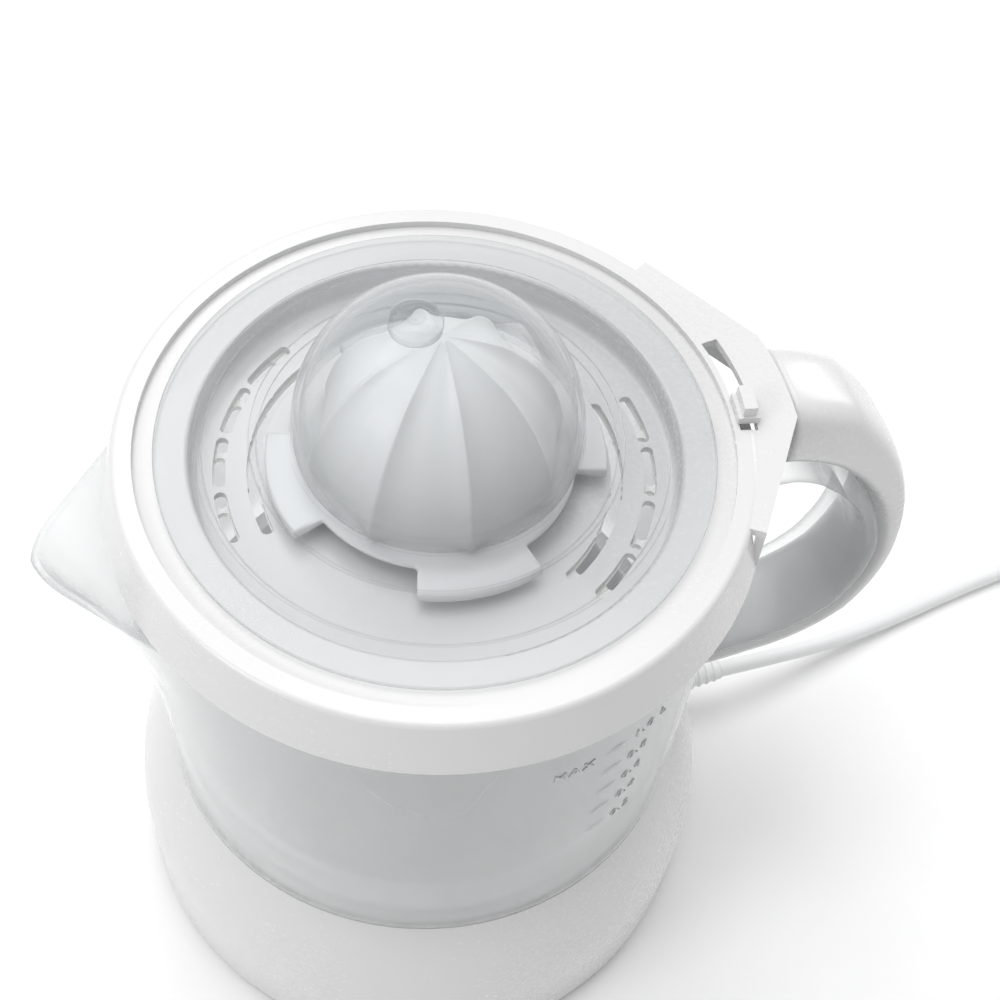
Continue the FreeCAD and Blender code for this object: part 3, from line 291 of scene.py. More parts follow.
@dataclass(frozen=True)
class Metal:
    """Ground, drawn or plated metal with fine tool lines along one direction."""

    name: str
    colour: tuple[float, float, float]
    roughness: float = 0.3
    lines: tuple[float, float, float] = (1.0, 1.0, 12.0)

    def make(self) -> bpy.types.Material:
        """Build the material."""
        paint = Paint(self.name)
        line = paint.noise(420.0, 3.0, self.lines)
        dull = tuple(channel * 0.86 for channel in self.colour)
        return paint.finish(paint.node("ShaderNodeBsdfPrincipled", values={
            "Base Color": paint.between(line, dull, self.colour), "Metallic": 1.0,
            "Roughness": line * 0.16 + (self.roughness - 0.08),
            "Normal": paint.bump(line, 0.08, 0.0002)}))


@dataclass(frozen=True)
class Laminate:
    """Stack of thin sheets under varnish, or turns of tape, as fine lines up the piece."""

    name: str
    colour: tuple[float, float, float]
    pitch: float
    metal: float
    roughness: float = 0.4

    def make(self) -> bpy.types.Material:
        """Build the material."""
        paint = Paint(self.name)
        lines = paint.node("ShaderNodeTexWave", {"bands_direction": "Z"},
                           {"Vector": paint.place(), "Scale": 0.314 / self.pitch, "Distortion": 0.4})
        dark = tuple(channel * 0.6 for channel in self.colour)
        return paint.finish(paint.node("ShaderNodeBsdfPrincipled", values={
            "Base Color": paint.between(lines, dark, self.colour), "Metallic": self.metal,
            "Roughness": lines * 0.15 + self.roughness, "Normal": paint.bump(lines, 0.3, 0.0002)}))


@dataclass(frozen=True)
class Soft:
    """Rubber or soft cord sheath: matt, finely pitted and a little dusty in patches."""

    name: str
    colour: tuple[float, float, float]
    roughness: float = 0.55

    def make(self) -> bpy.types.Material:
        """Build the material."""
        paint = Paint(self.name)
        pits, dust = paint.noise(1600.0, 2.0), paint.noise(40.0)
        pale = tuple(min(channel + 0.03, 1.0) for channel in self.colour)
        return paint.finish(paint.node("ShaderNodeBsdfPrincipled", values={
            "Base Color": paint.between(dust, self.colour, pale),
            "Roughness": pits * 0.12 + (self.roughness - 0.06),
            "Normal": paint.bump(pits, 0.12, 0.0002)}))


class Finishes:
    """All the finishes of the press, made once and found by the record's slot."""

    def __init__(self) -> None:
        """Make each material."""
        recipes = {
            "white_abs": Moulding("white_housing", (0.7, 0.7, 0.7), 0.26, relief=0.006),
            "satin_pp": Moulding("satin_cone", (0.76, 0.765, 0.77), 0.38, 900.0, 0.02, 0.0),
            "clear_san": ClearMoulding("clear_wall"),
            "white_pom": Moulding("white_gear", (0.85, 0.85, 0.83), 0.42, 1300.0, 0.1, 0.0),
            "grey_pom": Moulding("grey_frame", (0.4, 0.41, 0.43), 0.45, 700.0, 0.14, 0.0, 0.05),
            "dark_plastic": Moulding("dark_switch", (0.03, 0.03, 0.035), 0.4, 900.0, 0.1, 0.0, 0.01),
            "foot_rubber": Soft("foot_grip", (0.36, 0.37, 0.38), 0.75),
            "cord_pvc": Soft("cord_sheath", (0.82, 0.825, 0.83), 0.42),
            "screw_steel": Metal("zinc_screw", (0.66, 0.68, 0.7), 0.34),
            "shaft_steel": Metal("ground_shaft", (0.7, 0.71, 0.73), 0.22),
            "spring_steel": Metal("drawn_spring", (0.55, 0.56, 0.58), 0.3, (6.0, 6.0, 6.0)),
            "core_steel": Laminate("stacked_core", (0.3, 0.31, 0.33), 0.0005, 0.8),
            "winding_tape": Laminate("wound_tape", (0.72, 0.6, 0.14), 0.0011, 0.0, 0.45),
            "bush_brass": Metal("bronze_bush", (0.62, 0.45, 0.2), 0.4, (3.0, 3.0, 3.0)),
            "pin_brass": Metal("plated_pin", (0.78, 0.78, 0.76), 0.18),
        }
        self.made = {slot: recipe.make() for slot, recipe in recipes.items()}
        # jug wall: a paler glancing layer with a larger face-on share, painted light that brightens the wall
        # for the light coming through the jug
        self.jug = ClearMoulding("jug_wall_clear", skin=(0.74, 0.75, 0.755), base=0.05, haze=0.03).make()
        self.lettering = Moulding("frosted_lettering", (0.5, 0.51, 0.52), 0.5).make()

    def of(self, slot: str) -> bpy.types.Material:
        """The material of a slot of the record."""
        return self.made[slot]


# ---------------------------------------------------------------- pieces

def new_object(name: str, data: bpy.types.ID) -> bpy.types.Object:
    """A new object in the scene."""
    made = bpy.data.objects.new(name, data)
    bpy.context.scene.collection.objects.link(made)
    return made


def settle(piece: bpy.types.Object, body: Body, material: bpy.types.Material | None = None,
           replaces: Sequence[str] = ()) -> bpy.types.Object:
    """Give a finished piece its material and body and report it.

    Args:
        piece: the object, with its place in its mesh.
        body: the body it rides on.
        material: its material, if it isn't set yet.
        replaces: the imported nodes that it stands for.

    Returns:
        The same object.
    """
    if material is not None:
        piece.data.materials.clear()
        piece.data.materials.append(material)
    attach(piece, body.value)
    if replaces:
        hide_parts(*replaces)
    LOG.info("made %s", piece.name)
    return piece


def mesh_piece(name: str, build: Callable[[bmesh.types.BMesh], None],
               smooth: bool = True) -> bpy.types.Object:
    """A mesh object filled by a building function."""
    mesh = bpy.data.meshes.new(name)
    work = bmesh.new()
    build(work)
    bmesh.ops.remove_doubles(work, verts=work.verts, dist=1e-6)
    bmesh.ops.recalc_face_normals(work, faces=work.faces)
    work.to_mesh(mesh)
    work.free()
    mesh.polygons.foreach_set("use_smooth", [smooth] * len(mesh.polygons))
    return new_object(name, mesh)


@dataclass
class PackedParts:
    """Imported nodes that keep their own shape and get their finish."""

    finishes: Finishes

    def dress(self) -> None:
        """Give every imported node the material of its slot."""
        for part in FRAME["record"]["subparts"]:
            node = FRAME["nodes"][part["node"]]
            node.data.materials.clear()
            node.data.materials.append(self.finishes.of(part["material_slot"]))
            LOG.info("dressed %s", part["node"])


@dataclass
class MainsCord:
    """The free cord: its route on the table, its wound length and its plug."""

    finishes: Finishes
    radius: float = 2.75 * MM
    turn: float = 31.0 * MM
    low: float = 3.2 * MM
    high: float = 9.0 * MM
    stub: float = 28.0 * MM
    squeeze: float = 0.6 * MM
    laps: int = 5
    points_a_turn: int = 16

    def route(self) -> list[Vector]:
        """Points of the line from the relief's mouth to the plug."""
        points = [Vector(p) * MM for p in (
            (109.0, 10.4, 14.0), (129.0, 11.4, 12.4), (153.0, 15.0, 6.2), (181.0, 20.4, 2.75),
            (212.0, 27.0, 2.75), (243.0, 31.5, 2.75))]
        along = (points[-1] - points[-2]).normalized()
        aside = Vector((along.y, -along.x, 0.0))
        outer = self.turn + 2 * self.radius - self.squeeze
        centre = points[-1] + along * self.stub + aside * outer
        flat = Vector((centre.x, centre.y, 0.0))
        inner = self.turn - 2 * self.radius
        steps = self.laps * self.points_a_turn
        for k in range(steps + 1):
            laps = k / self.points_a_turn
            if laps <= 2:
                reach, height = outer - laps * (outer - inner) / 2, self.low
            elif laps <= 3:
                rise = min(max((laps - 2.3) / 0.4, 0.0), 1.0)
                reach, height = inner, self.low + (self.high - self.low) * rise
            else:
                reach, height = inner + (laps - 3) * (outer - inner) / 2, self.high
            if k == 0:
                height = self.radius
            if k == steps:
                height = 7.6 * MM
            angle = -2 * math.pi * laps
            spoke = -aside * math.cos(angle) + along * math.sin(-angle)
            points.append(flat + spoke * min(reach, outer) + Vector((0, 0, height)))
        tail = flat - aside * outer + along * self.stub + Vector((0, 0, 7.0 * MM))
        points += [flat - aside * outer + along * self.stub * 0.5 + Vector((0, 0, 7.2 * MM)), tail]
        return points

    def build(self) -> None:
        """Make the cord and its plug."""
        points = self.route()
        curve = bpy.data.curves.new("mains_cord", "CURVE")
        curve.dimensions = "3D"
        line = curve.splines.new("NURBS")
        line.points.add(len(points) - 1)
        for point, place in zip(line.points, points):
            point.co = (*place, 1.0)
        line.order_u = 3
        line.use_endpoint_u = True
        line.resolution_u = 8
        curve.bevel_depth = self.radius
        curve.bevel_resolution = 5
        cord = new_object("mains_cord", curve)
        settle(cord, Body.BASE, self.finishes.of("cord_pvc"), ("cord", "cord_coil"))
        heading = (points[5] - points[4]).normalized()
        plug = Plug(self.finishes).build(points[-1], heading)
        self.length(points)
        2 * self.radius

    def length(self, points: Sequence[Vector]) -> float:
        """Length of the line through the points, in metres."""
        return round(sum((b - a).length for a, b in zip(points, points[1:])), 2)


Point = tuple[float, float]


def bow(start: Point, end: Point, radius: float | None, count: int = 8) -> list[Point]:
    """Points from start to end along an arc that bulges left of the way of travel.

    Args:
        start: first point, in millimetres.
        end: last point.
        radius: the arc's radius, negative to bulge right, or None for a straight run.
        count: how many steps it is cut into.

    Returns:
        The points after the first.
    """
    (ax, ay), (bx, by) = start, end
    chord = math.hypot(bx - ax, by - ay)
    rise = 0.0 if radius is None else radius - math.copysign(math.sqrt(radius ** 2 - chord ** 2 / 4), radius)
    normal = (-(by - ay) / chord, (bx - ax) / chord)
    points = []
    for k in range(1, count + 1):
        t = k / count
        lift = 4 * rise * t * (1 - t)
        points.append((ax + (bx - ax) * t + normal[0] * lift, ay + (by - ay) * t + normal[1] * lift))
    return points


def soften(outline: Sequence[Point], reach: float, steps: int = 3) -> list[Point]:
    """Round the corners of a closed outline by a small reach along both of their sides."""
    rounded = []
    for k, (x, y) in enumerate(outline):
        sides = []
        for px, py in (outline[k - 1], outline[(k + 1) % len(outline)]):
            away = math.hypot(px - x, py - y)
            share = min(reach / away, 0.45)
            sides.append((x + (px - x) * share, y + (py - y) * share))
        (ax, ay), (bx, by) = sides
        for j in range(steps + 1):
            t = j / steps
            rounded.append(((1 - t) ** 2 * ax + 2 * t * (1 - t) * x + t * t * bx,
                            (1 - t) ** 2 * ay + 2 * t * (1 - t) * y + t * t * by))
    return rounded


def lathe(work: bmesh.types.BMesh, section: Callable[[float], Sequence[Point]], steps: int = 192,
          centre: Point = (0.0, 0.0)) -> None:
    """Sweep a closed section of radius and height round a vertical axis.

    Args:
        work: the mesh that is added to.
        section: gives the outline at an angle; every outline has the same number of points.
        steps: how many places round the axis.
        centre: the axis in plan, in millimetres.
    """
    rings = []
    for k in range(steps):
        angle = 2 * math.pi * k / steps
        rings.append([work.verts.new(((centre[0] + r * math.cos(angle)) * MM,
                                      (centre[1] + r * math.sin(angle)) * MM, z * MM))
                      for r, z in section(angle)])
    count = len(rings[0])
    for k, ring in enumerate(rings):
        after = rings[(k + 1) % steps]
        for j in range(count):
            work.faces.new((ring[j], after[j], after[(j + 1) % count], ring[(j + 1) % count]))


def tidy_poles(work: bmesh.types.BMesh) -> None:
    """Merge the points on the axis and drop faces without area."""
    bmesh.ops.remove_doubles(work, verts=work.verts, dist=4e-6)
    bmesh.ops.dissolve_degenerate(work, edges=work.edges, dist=1e-7)


@dataclass
class Lid:
    """Clear lid: a flat brim, a stepped foot and a domed middle with a small button on top."""

    finishes: Finishes
    seat: float = 188.08
    brim: float = 69.9
    step: float = 60.0
    foot: float = 46.5
    dome: float = 35.95
    centre: float = 198.0
    wall: float = 1.8
    button_radius: float = 6.5
    button_offset: float = 6.5
    button_angle: float = 160.0

    def section(self) -> list[Point]:
        """Closed outline of the lid, from the outer pole to the inner one."""
        seat, wall, dome = self.seat, self.wall, self.dome
        outside = [(dome * math.cos(math.radians(a)), self.centre + dome * math.sin(math.radians(a)))
                   for a in range(90, -1, -4)]
        inner = dome - wall
        inside = [(inner * math.cos(math.radians(a)), self.centre + inner * math.sin(math.radians(a)))
                  for a in range(2, 91, 4)]
        rim = soften([
            (dome + 1.2, seat + 6.2), (self.foot, seat + 5.2), (self.foot, seat + 3.6),
            (self.step, seat + 3.4), (self.step, seat + 2.4), (self.brim, seat + 2.3), (self.brim, seat),
            (self.step - wall, seat), (self.step - wall, seat + 1.6), (self.foot - wall, seat + 1.8),
            (self.foot - wall, seat + 3.4), (dome - wall + 1.0, seat + 4.6)], 0.55)
        return outside + rim + inside

    def build(self) -> None:
        """Make the shell and its button."""
        outline = self.section()

        def shell(work: bmesh.types.BMesh) -> None:
            """Turn the shell."""
            lathe(work, lambda angle: outline)
            tidy_poles(work)

        material = self.finishes.of("clear_san")
        settle(mesh_piece("lid_shell", shell), Body.LID, material, ("lid",))
        turn, top = math.radians(self.button_angle), self.centre + self.dome
        place = (self.button_offset * math.cos(turn), self.button_offset * math.sin(turn))
        radius = self.button_radius
        button = soften([
            (0.0, top - 1.4), (radius, top - 2.2), (radius, top + 0.6), (radius - 1.3, top + 1.4),
            (2.4, top + 1.4), (1.6, top + 0.7), (0.0, top + 0.7)], 0.5)
        button = [(max(r, 0.0), z) for r, z in button]

        def knob(work: bmesh.types.BMesh) -> None:
            """Turn the button."""
            lathe(work, lambda angle: button, 64, place)
            tidy_poles(work)

        settle(mesh_piece("lid_button", knob), Body.LID, material)


@dataclass
class Jug:
    """Clear jug: tapered wall with a keeled spout, raised floor and a chimney round the shaft."""

    finishes: Finishes
    foot: float = 64.0
    rim: float = 187.45
    foot_radius: float = 76.2
    rim_radius: float = 78.95
    wall: float = 2.1
    floor: float = 83.0
    chimney: float = 13.2
    spout_top: float = 173.8
    spout_reach: float = 102.8
    spout_angle: float = 43.0
    notch_depth: float = 4.8
    notch_angle: float = 19.0
    mark_height: float = 149.0
    mark_step: float = 11.5
    mark_count: int = 5
    mark_angle: float = -69.0
    levels: int = 36

    def radius(self, height: float) -> float:
        """Outer radius of the plain wall at a height."""
        share = (height - self.foot) / (self.rim - self.foot)
        return self.foot_radius + (self.rim_radius - self.foot_radius) * share

    def spout(self, angle: float, height: float) -> float:
        """How far the spout stands out of the plain wall, at an angle and height."""
        off = abs(math.degrees(math.atan2(-math.sin(angle), -math.cos(angle))))
        stops = ((self.spout_top - 74, 0.0, 0.30), (self.spout_top - 46, 0.20, 0.44),
                 (self.spout_top - 20, 0.64, 0.74), (self.spout_top, 1.0, 1.0), (self.rim + 9, 1.0, 1.0))
        if height <= stops[0][0]:
            return 0.0
        for (low, out_a, wide_a), (high, out_b, wide_b) in zip(stops, stops[1:]):
            if height <= high:
                t = (height - low) / (high - low)
                out, wide = out_a + (out_b - out_a) * t, wide_a + (wide_b - wide_a) * t
                break
        spread = off / wide
        if spread >= self.spout_angle:
            return 0.0
        plain = self.radius(height)
        side = plain / math.cos(math.radians(self.spout_angle - spread))
        nose = self.spout_reach / math.cos(math.radians(min(spread, 60.0)))
        blend = 7.0
        mix = min(max(0.5 + 0.5 * (nose - side) / blend, 0.0), 1.0)
        joined = nose + (side - nose) * mix - blend * mix * (1 - mix)
        return max(joined - plain, 0.0) * out

    def top(self, angle: float) -> float:
        """Height of the rim at an angle: low along the spout and notched at the handle."""
        off = abs(math.degrees(math.atan2(-math.sin(angle), -math.cos(angle))))
        if off < self.spout_angle + 4:
            rise = min(max((off - self.spout_angle + 1) / 5, 0.0), 1.0)
            return self.spout_top + (self.rim - self.spout_top) * rise * rise * (3 - 2 * rise)
        if 180 - off < self.notch_angle + 1:
            return self.rim - self.notch_depth * min(self.notch_angle + 1 - (180 - off), 1.0)
        return self.rim

    def section(self, angle: float) -> list[Point]:
        """Closed outline of the jug at an angle."""
        top, wall = self.top(angle), self.wall
        outer, inner = [], []
        for k in range(self.levels + 1):
            z = self.foot + 1.2 + (top - 0.9 - self.foot - 1.2) * k / self.levels
            outer.append((self.radius(z) + self.spout(angle, z), z))
            z = 90.0 + (top - 0.9 - 90.0) * k / self.levels
            inner.append((self.radius(z) + self.spout(angle, z) - wall, z))
        lip = [(outer[-1][0] - wall * s, top - 0.9 + 0.9 * h)
               for s, h in ((0.12, 0.7), (0.3, 1.0), (0.7, 1.0), (0.88, 0.7))]
        foot = self.foot_radius
        bottom = self.radius(self.floor) - wall
        floor = [(bottom - 0.1, 86.6), (bottom - 1.4, 84.2), (bottom - 4.6, self.floor),
                 (40.0, self.floor), (15.0, self.floor), (13.5, 83.5), (self.chimney, 85.0),
                 (self.chimney, 163.2), (12.8, 164.0), (11.4, 164.0),
                 (11.05, 163.2), (11.05, 81.0), (11.6, 80.45), (40.0, 80.45), (bottom - 0.6, 80.45),
                 (bottom, 79.9), (foot - wall, 64.6), (foot - wall + 0.4, 64.0), (foot - 0.5, 64.0)]
        return outer + lip + inner[::-1] + floor

    def dot(self, work: bmesh.types.BMesh, height: float) -> None:
        """Add one raised oval to the wall."""
        made = bmesh.ops.create_uvsphere(work, u_segments=24, v_segments=12, radius=1.0)["verts"]
        spread = Matrix.Diagonal((1.0 * MM, 3.6 * MM, 1.7 * MM, 1.0))
        place = Matrix.Translation(Vector((self.radius(height) - 0.4, 0.0, height)) * MM)
        turn = Matrix.Rotation(math.radians(self.mark_angle), 4, "Z")
        bmesh.ops.transform(work, matrix=turn @ place @ spread, verts=made)

    def letter(self, text: str, height: float, start: float) -> bpy.types.Object:
        """Raised words bent round the wall.

        Args:
            text: what they say.
            height: middle of the letters above the table, in millimetres.
            start: angle of their middle from the dots, in degrees.

        Returns:
            The mesh object, not yet on a body.
        """
        curve = bpy.data.curves.new("words", "FONT")
        curve.body, curve.size, curve.extrude = text, 4.9, 0.22
        curve.align_x, curve.align_y = "CENTER", "CENTER"
        curve.space_character = 1.25
        holder = new_object("words", curve)
        graph = bpy.context.evaluated_depsgraph_get()
        mesh = bpy.data.meshes.new_from_object(holder.evaluated_get(graph), depsgraph=graph)
        bpy.data.objects.remove(holder)
        middle = math.radians(self.mark_angle + start)
        for vertex in mesh.vertices:
            x, y, z = vertex.co
            reach = self.radius(height + y) + 0.12 + z
            angle = middle + x / self.radius(height)
            vertex.co = Vector((reach * math.cos(angle), reach * math.sin(angle), height + y)) * MM
        return new_object("level_words", mesh)

    def build(self) -> None:
        """Make the jug and the lettering beside its level dots."""
        def shell(work: bmesh.types.BMesh) -> None:
            """Turn the wall and add the dots."""
            lathe(work, self.section, 288)
            for k in range(self.mark_count):
                self.dot(work, self.mark_height - k * self.mark_step)

        settle(mesh_piece("jug_wall", shell), Body.JUG, self.finishes.jug, ("jug",))
        words = [self.letter("MAX", self.mark_height, -9.5)]
        for k, text in enumerate(("1.0 L", "0.8", "0.6", "0.4", "0.2")):
            words.append(self.letter(text, self.mark_height - k * self.mark_step, 8.5 if k == 0 else 6.5))
        for k, word in enumerate(words):
            word.name = f"level_words_{k}"
            settle(word, Body.JUG, self.finishes.lettering)


@dataclass
class Handle:
    """Loop handle: a white outer half and a clear inner half, both with rounded edges."""

    finishes: Finishes
    half_width: float = 14.4
    squareness: float = 3.2
    around: int = 40

    def outer_line(self) -> list[Point]:
        """Back of the white half, from the tab down to the jug."""
        corners = [(92.7, 189.0, None), (113, 181, 60), (139, 118, 85), (130, 84, 60), (100, 69.5, 45),
                   (74.2, 67, 110)]
        return self.run(corners)

    def middle_line(self) -> list[Point]:
        """Seam between the two halves."""
        corners = [(92.7, 165, None), (112, 156, 45), (133.5, 114, 60), (125.5, 86, 50), (98, 73.5, 42),
                   (74.2, 70.6, 110)]
        return self.run(corners)

    def inner_line(self) -> list[Point]:
        """Finger side of the clear half."""
        corners = [(97.6, 158, None), (108.1, 151, 20), (127.5, 114, 55), (120, 92, 44), (96.5, 79.5, 36),
                   (74.2, 77, 110)]
        return self.run(corners)

    def run(self, corners: Sequence[tuple[float, float, float | None]]) -> list[Point]:
        """Points along corners that are joined by arcs."""
        points = [corners[0][:2]]
        for before, after in zip(corners, corners[1:]):
            points += bow(before[:2], after[:2], after[2], 10)
        return points

    def sweep(self, work: bmesh.types.BMesh, outside: Sequence[Point], inside: Sequence[Point],
              wall: Callable[[float], float]) -> None:
        """Join two lines by rounded sections and close both ends.

        Args:
            work: the mesh that is added to.
            outside: line on the outer side.
            inside: line on the inner side, with as many points.
            wall: outer radius of the jug at a height.
        """
        rings = []
        for (ox, oz), (ix, iz) in zip(outside, inside):
            ring = []
            for k in range(self.around):
                turn = 2 * math.pi * k / self.around
                along, across = math.cos(turn), math.sin(turn)
                power = 2 / self.squareness
                along = math.copysign(abs(along) ** power, along)
                across = math.copysign(abs(across) ** power, across)
                x = (ox + ix) / 2 + (ox - ix) / 2 * along
                z = (oz + iz) / 2 + (oz - iz) / 2 * along
                y = self.half_width * across
                x = max(x, math.sqrt(wall(z) ** 2 - y ** 2) + 0.05)
                ring.append(work.verts.new(Vector((x, y, z)) * MM))
            rings.append(ring)
        for ring, after in zip(rings, rings[1:]):
            for k in range(self.around):
                nxt = (k + 1) % self.around
                work.faces.new((ring[k], after[k], after[nxt], ring[nxt]))
        work.faces.new(rings[0])
        work.faces.new(rings[-1][::-1])

    def build(self, wall: Callable[[float], float]) -> None:
        """Make both halves against the jug's wall."""
        outer, middle, inner = self.outer_line(), self.middle_line(), self.inner_line()
        bridge = bow((74.2, 165.0), (92.7, 165.0), None, 6)
        under = bow((74.2, 159.0), (97.6, 158.0), None, 6)
        settle(mesh_piece("handle_back", lambda work: self.sweep(work, outer, middle, wall)), Body.JUG,
               self.finishes.of("white_abs"), ("handle_cover",))
        settle(mesh_piece("handle_loop", lambda work: self.sweep(
            work, bridge[:-1] + middle, under[:-1] + inner, wall)), Body.JUG,
            self.finishes.of("clear_san"), ("handle_channel",))


@dataclass
class LargeReamer:
    """Outer cone: a pointed dome whose ribs and flutes are grown from a plain one."""

    finishes: Finishes
    low: float = 184.1
    tip: float = 229.6
    core: float = 29.6
    rib: float = 3.1
    ribs: int = 8
    sharpness: float = 3.4
    flange: float = 35.0
    sweep: float = 42.8
    sweep_half: float = 22.0

    def section(self, angle: float) -> list[Point]:
        """Closed outline at an angle; only the flange changes."""
        off = abs((math.degrees(angle) + 45.0) % 90.0 - 45.0)
        share = min(max((self.sweep_half - off) / 1.2 + 0.5, 0.0), 1.0)
        edge = self.flange + (self.sweep - self.flange) * share
        under = self.low - 1.7 * share
        dome = bow((0.0, self.tip), (self.core, self.low + 6), 52.0, 26)
        skirt = [(self.core, self.low + 3.2), (self.core + 0.5, self.low + 2.0),
                 (self.flange - 0.6, self.low + 1.6), (max(edge - 0.6, self.flange - 0.2), self.low + 1.6),
                 (edge, self.low + 1.1), (edge, under + 0.5), (edge - 0.5, under),
                 (self.flange - 2.0, under), (self.core - 2.0, self.low)]
        hollow = bow((self.core - 2.0, self.low + 6), (0.0, self.tip - 7.2), -60.0, 12)
        return [(0.0, self.tip)] + dome + skirt + [(self.core - 2.0, self.low + 6)] + hollow

    def build(self) -> None:
        """Turn the dome, then grow the ribs with a geometry tree."""
        def turned(work: bmesh.types.BMesh) -> None:
            """Turn the plain dome."""
            lathe(work, self.section, 320)
            tidy_poles(work)

        seed = mesh_piece("reamer_seed", turned)
        grower = Grower("reamer_ribs")
        count = grower.size("Rib count", self.ribs)
        height = grower.size("Rib height", self.rib * MM)
        power = grower.size("Rib sharpness", self.sharpness)
        foot = grower.size("Foot height", (self.low + 1.9) * MM)
        peak = grower.size("Tip height", self.tip * MM)
        place = grower.node("GeometryNodeInputPosition")
        split = grower.node("ShaderNodeSeparateXYZ", values={0: place.outputs[0]})

        def maths(operation: str, first: object, second: object = 0.0, third: object = 0.0,
                  clamp: bool = False) -> bpy.types.NodeSocket:
            """One Math node of the tree."""
            return grower.node("ShaderNodeMath", {"operation": operation, "use_clamp": clamp},
                               {0: first, 1: second, 2: third}).outputs[0]

        angle = maths("ARCTAN2", split.outputs["Y"], split.outputs["X"])
        lap = maths("MULTIPLY", maths("DIVIDE", angle, 2 * math.pi), count)
        near = maths("MULTIPLY", maths("ABSOLUTE", maths("SUBTRACT", maths("FRACT", lap), 0.5)), 2.0)
        ridge = maths("POWER", near, power)
        reach = maths("SQRT", maths("ADD", maths("MULTIPLY", split.outputs["X"], split.outputs["X"]),
                                    maths("MULTIPLY", split.outputs["Y"], split.outputs["Y"])))
        above = maths("MULTIPLY", maths("SUBTRACT", split.outputs["Z"], foot), 900.0, clamp=True)
        below = maths("MULTIPLY", maths("SUBTRACT", peak, split.outputs["Z"]), 120.0, clamp=True)
        normal = grower.node("GeometryNodeInputNormal")
        facing = grower.node("ShaderNodeVectorMath", {"operation": "DOT_PRODUCT"},
                             {0: normal.outputs[0], 1: place.outputs[0]}).outputs["Value"]
        flat = grower.node("ShaderNodeVectorMath", {"operation": "MULTIPLY"},
                           {0: place.outputs[0], 1: (1.0, 1.0, 0.0)}).outputs[0]
        spoke = grower.node("ShaderNodeVectorMath", {"operation": "NORMALIZE"}, {0: flat}).outputs[0]
        inside = maths("LESS_THAN", reach, (self.core + 0.4) * MM)
        outward = maths("GREATER_THAN", facing, 0.0)
        amount = maths("MULTIPLY", maths("MULTIPLY", ridge, height),
                       maths("MULTIPLY", maths("MULTIPLY", above, below), maths("MULTIPLY", inside, outward)))
        push = grower.node("ShaderNodeVectorMath", {"operation": "SCALE"}, {0: spoke, "Scale": amount})
        moved = grower.node("GeometryNodeSetPosition", values={
            "Geometry": grower.inlet.outputs[0], "Offset": push.outputs[0]})
        piece = grower.grow(moved.outputs[0], "reamer_cone", self.finishes.of("satin_pp"), seed)
        settle(piece, Body.LARGE_REAMER, replaces=("large_reamer",))


@dataclass
class Relief:
    """Tapered sleeve where the cord leaves the base, with grip rings round it."""

    finishes: Finishes
    start: float = 85.0
    mouth: float = 109.0
    side: float = 10.4
    height: float = 14.0
    root: float = 5.1
    end: float = 3.2
    rings: int = 7

    def build(self) -> None:
        """Turn the core, then set the rings along it with a geometry tree."""
        grower = Grower("relief_rings")
        count = grower.size("Ring count", self.rings)
        long = grower.size("Sleeve length", (self.mouth - self.start) * MM)
        root = grower.size("Root radius", self.root * MM)
        end = grower.size("Mouth radius", self.end * MM)
        core = grower.node("GeometryNodeMeshCone", values={
            "Vertices": 40, "Side Segments": 12, "Radius Top": end, "Radius Bottom": root, "Depth": long})
        line = grower.node("GeometryNodeMeshLine", {"mode": "END_POINTS"}, {
            "Count": count, "Start Location": (0.0, 0.0, 4.5 * MM), "Offset": (0.0, 0.0, 21.5 * MM)})
        path = grower.node("GeometryNodeCurvePrimitiveCircle", values={"Resolution": 40, "Radius": 1.0})
        wire = grower.node("GeometryNodeCurvePrimitiveCircle", values={"Resolution": 10, "Radius": 0.16})
        ring = grower.node("GeometryNodeCurveToMesh", values={
            "Curve": path.outputs[0], "Profile Curve": wire.outputs[0]})
        index = grower.node("GeometryNodeInputIndex")
        size = grower.node("ShaderNodeMapRange", values={
            0: index.outputs[0], 1: 0.0, 2: float(self.rings - 1), 3: 0.94 * self.root * MM,
            4: 1.02 * self.end * MM})
        rings = grower.node("GeometryNodeInstanceOnPoints", values={
            "Points": line.outputs[0], "Instance": ring.outputs[0], "Scale": size.outputs[0]})
        both = grower.node("GeometryNodeJoinGeometry")
        grower.tree.links.new(core.outputs["Mesh"], both.inputs[0])
        grower.tree.links.new(rings.outputs[0], both.inputs[0])
        laid = grower.node("GeometryNodeTransform", values={
            "Geometry": both.outputs[0], "Rotation": (0.0, math.pi / 2, 0.0),
            "Translation": (self.start * MM, self.side * MM, self.height * MM)})
        piece = grower.grow(laid.outputs[0], "relief_sleeve", self.finishes.of("cord_pvc"))
        settle(piece, Body.BASE, replaces=("strain_relief",))


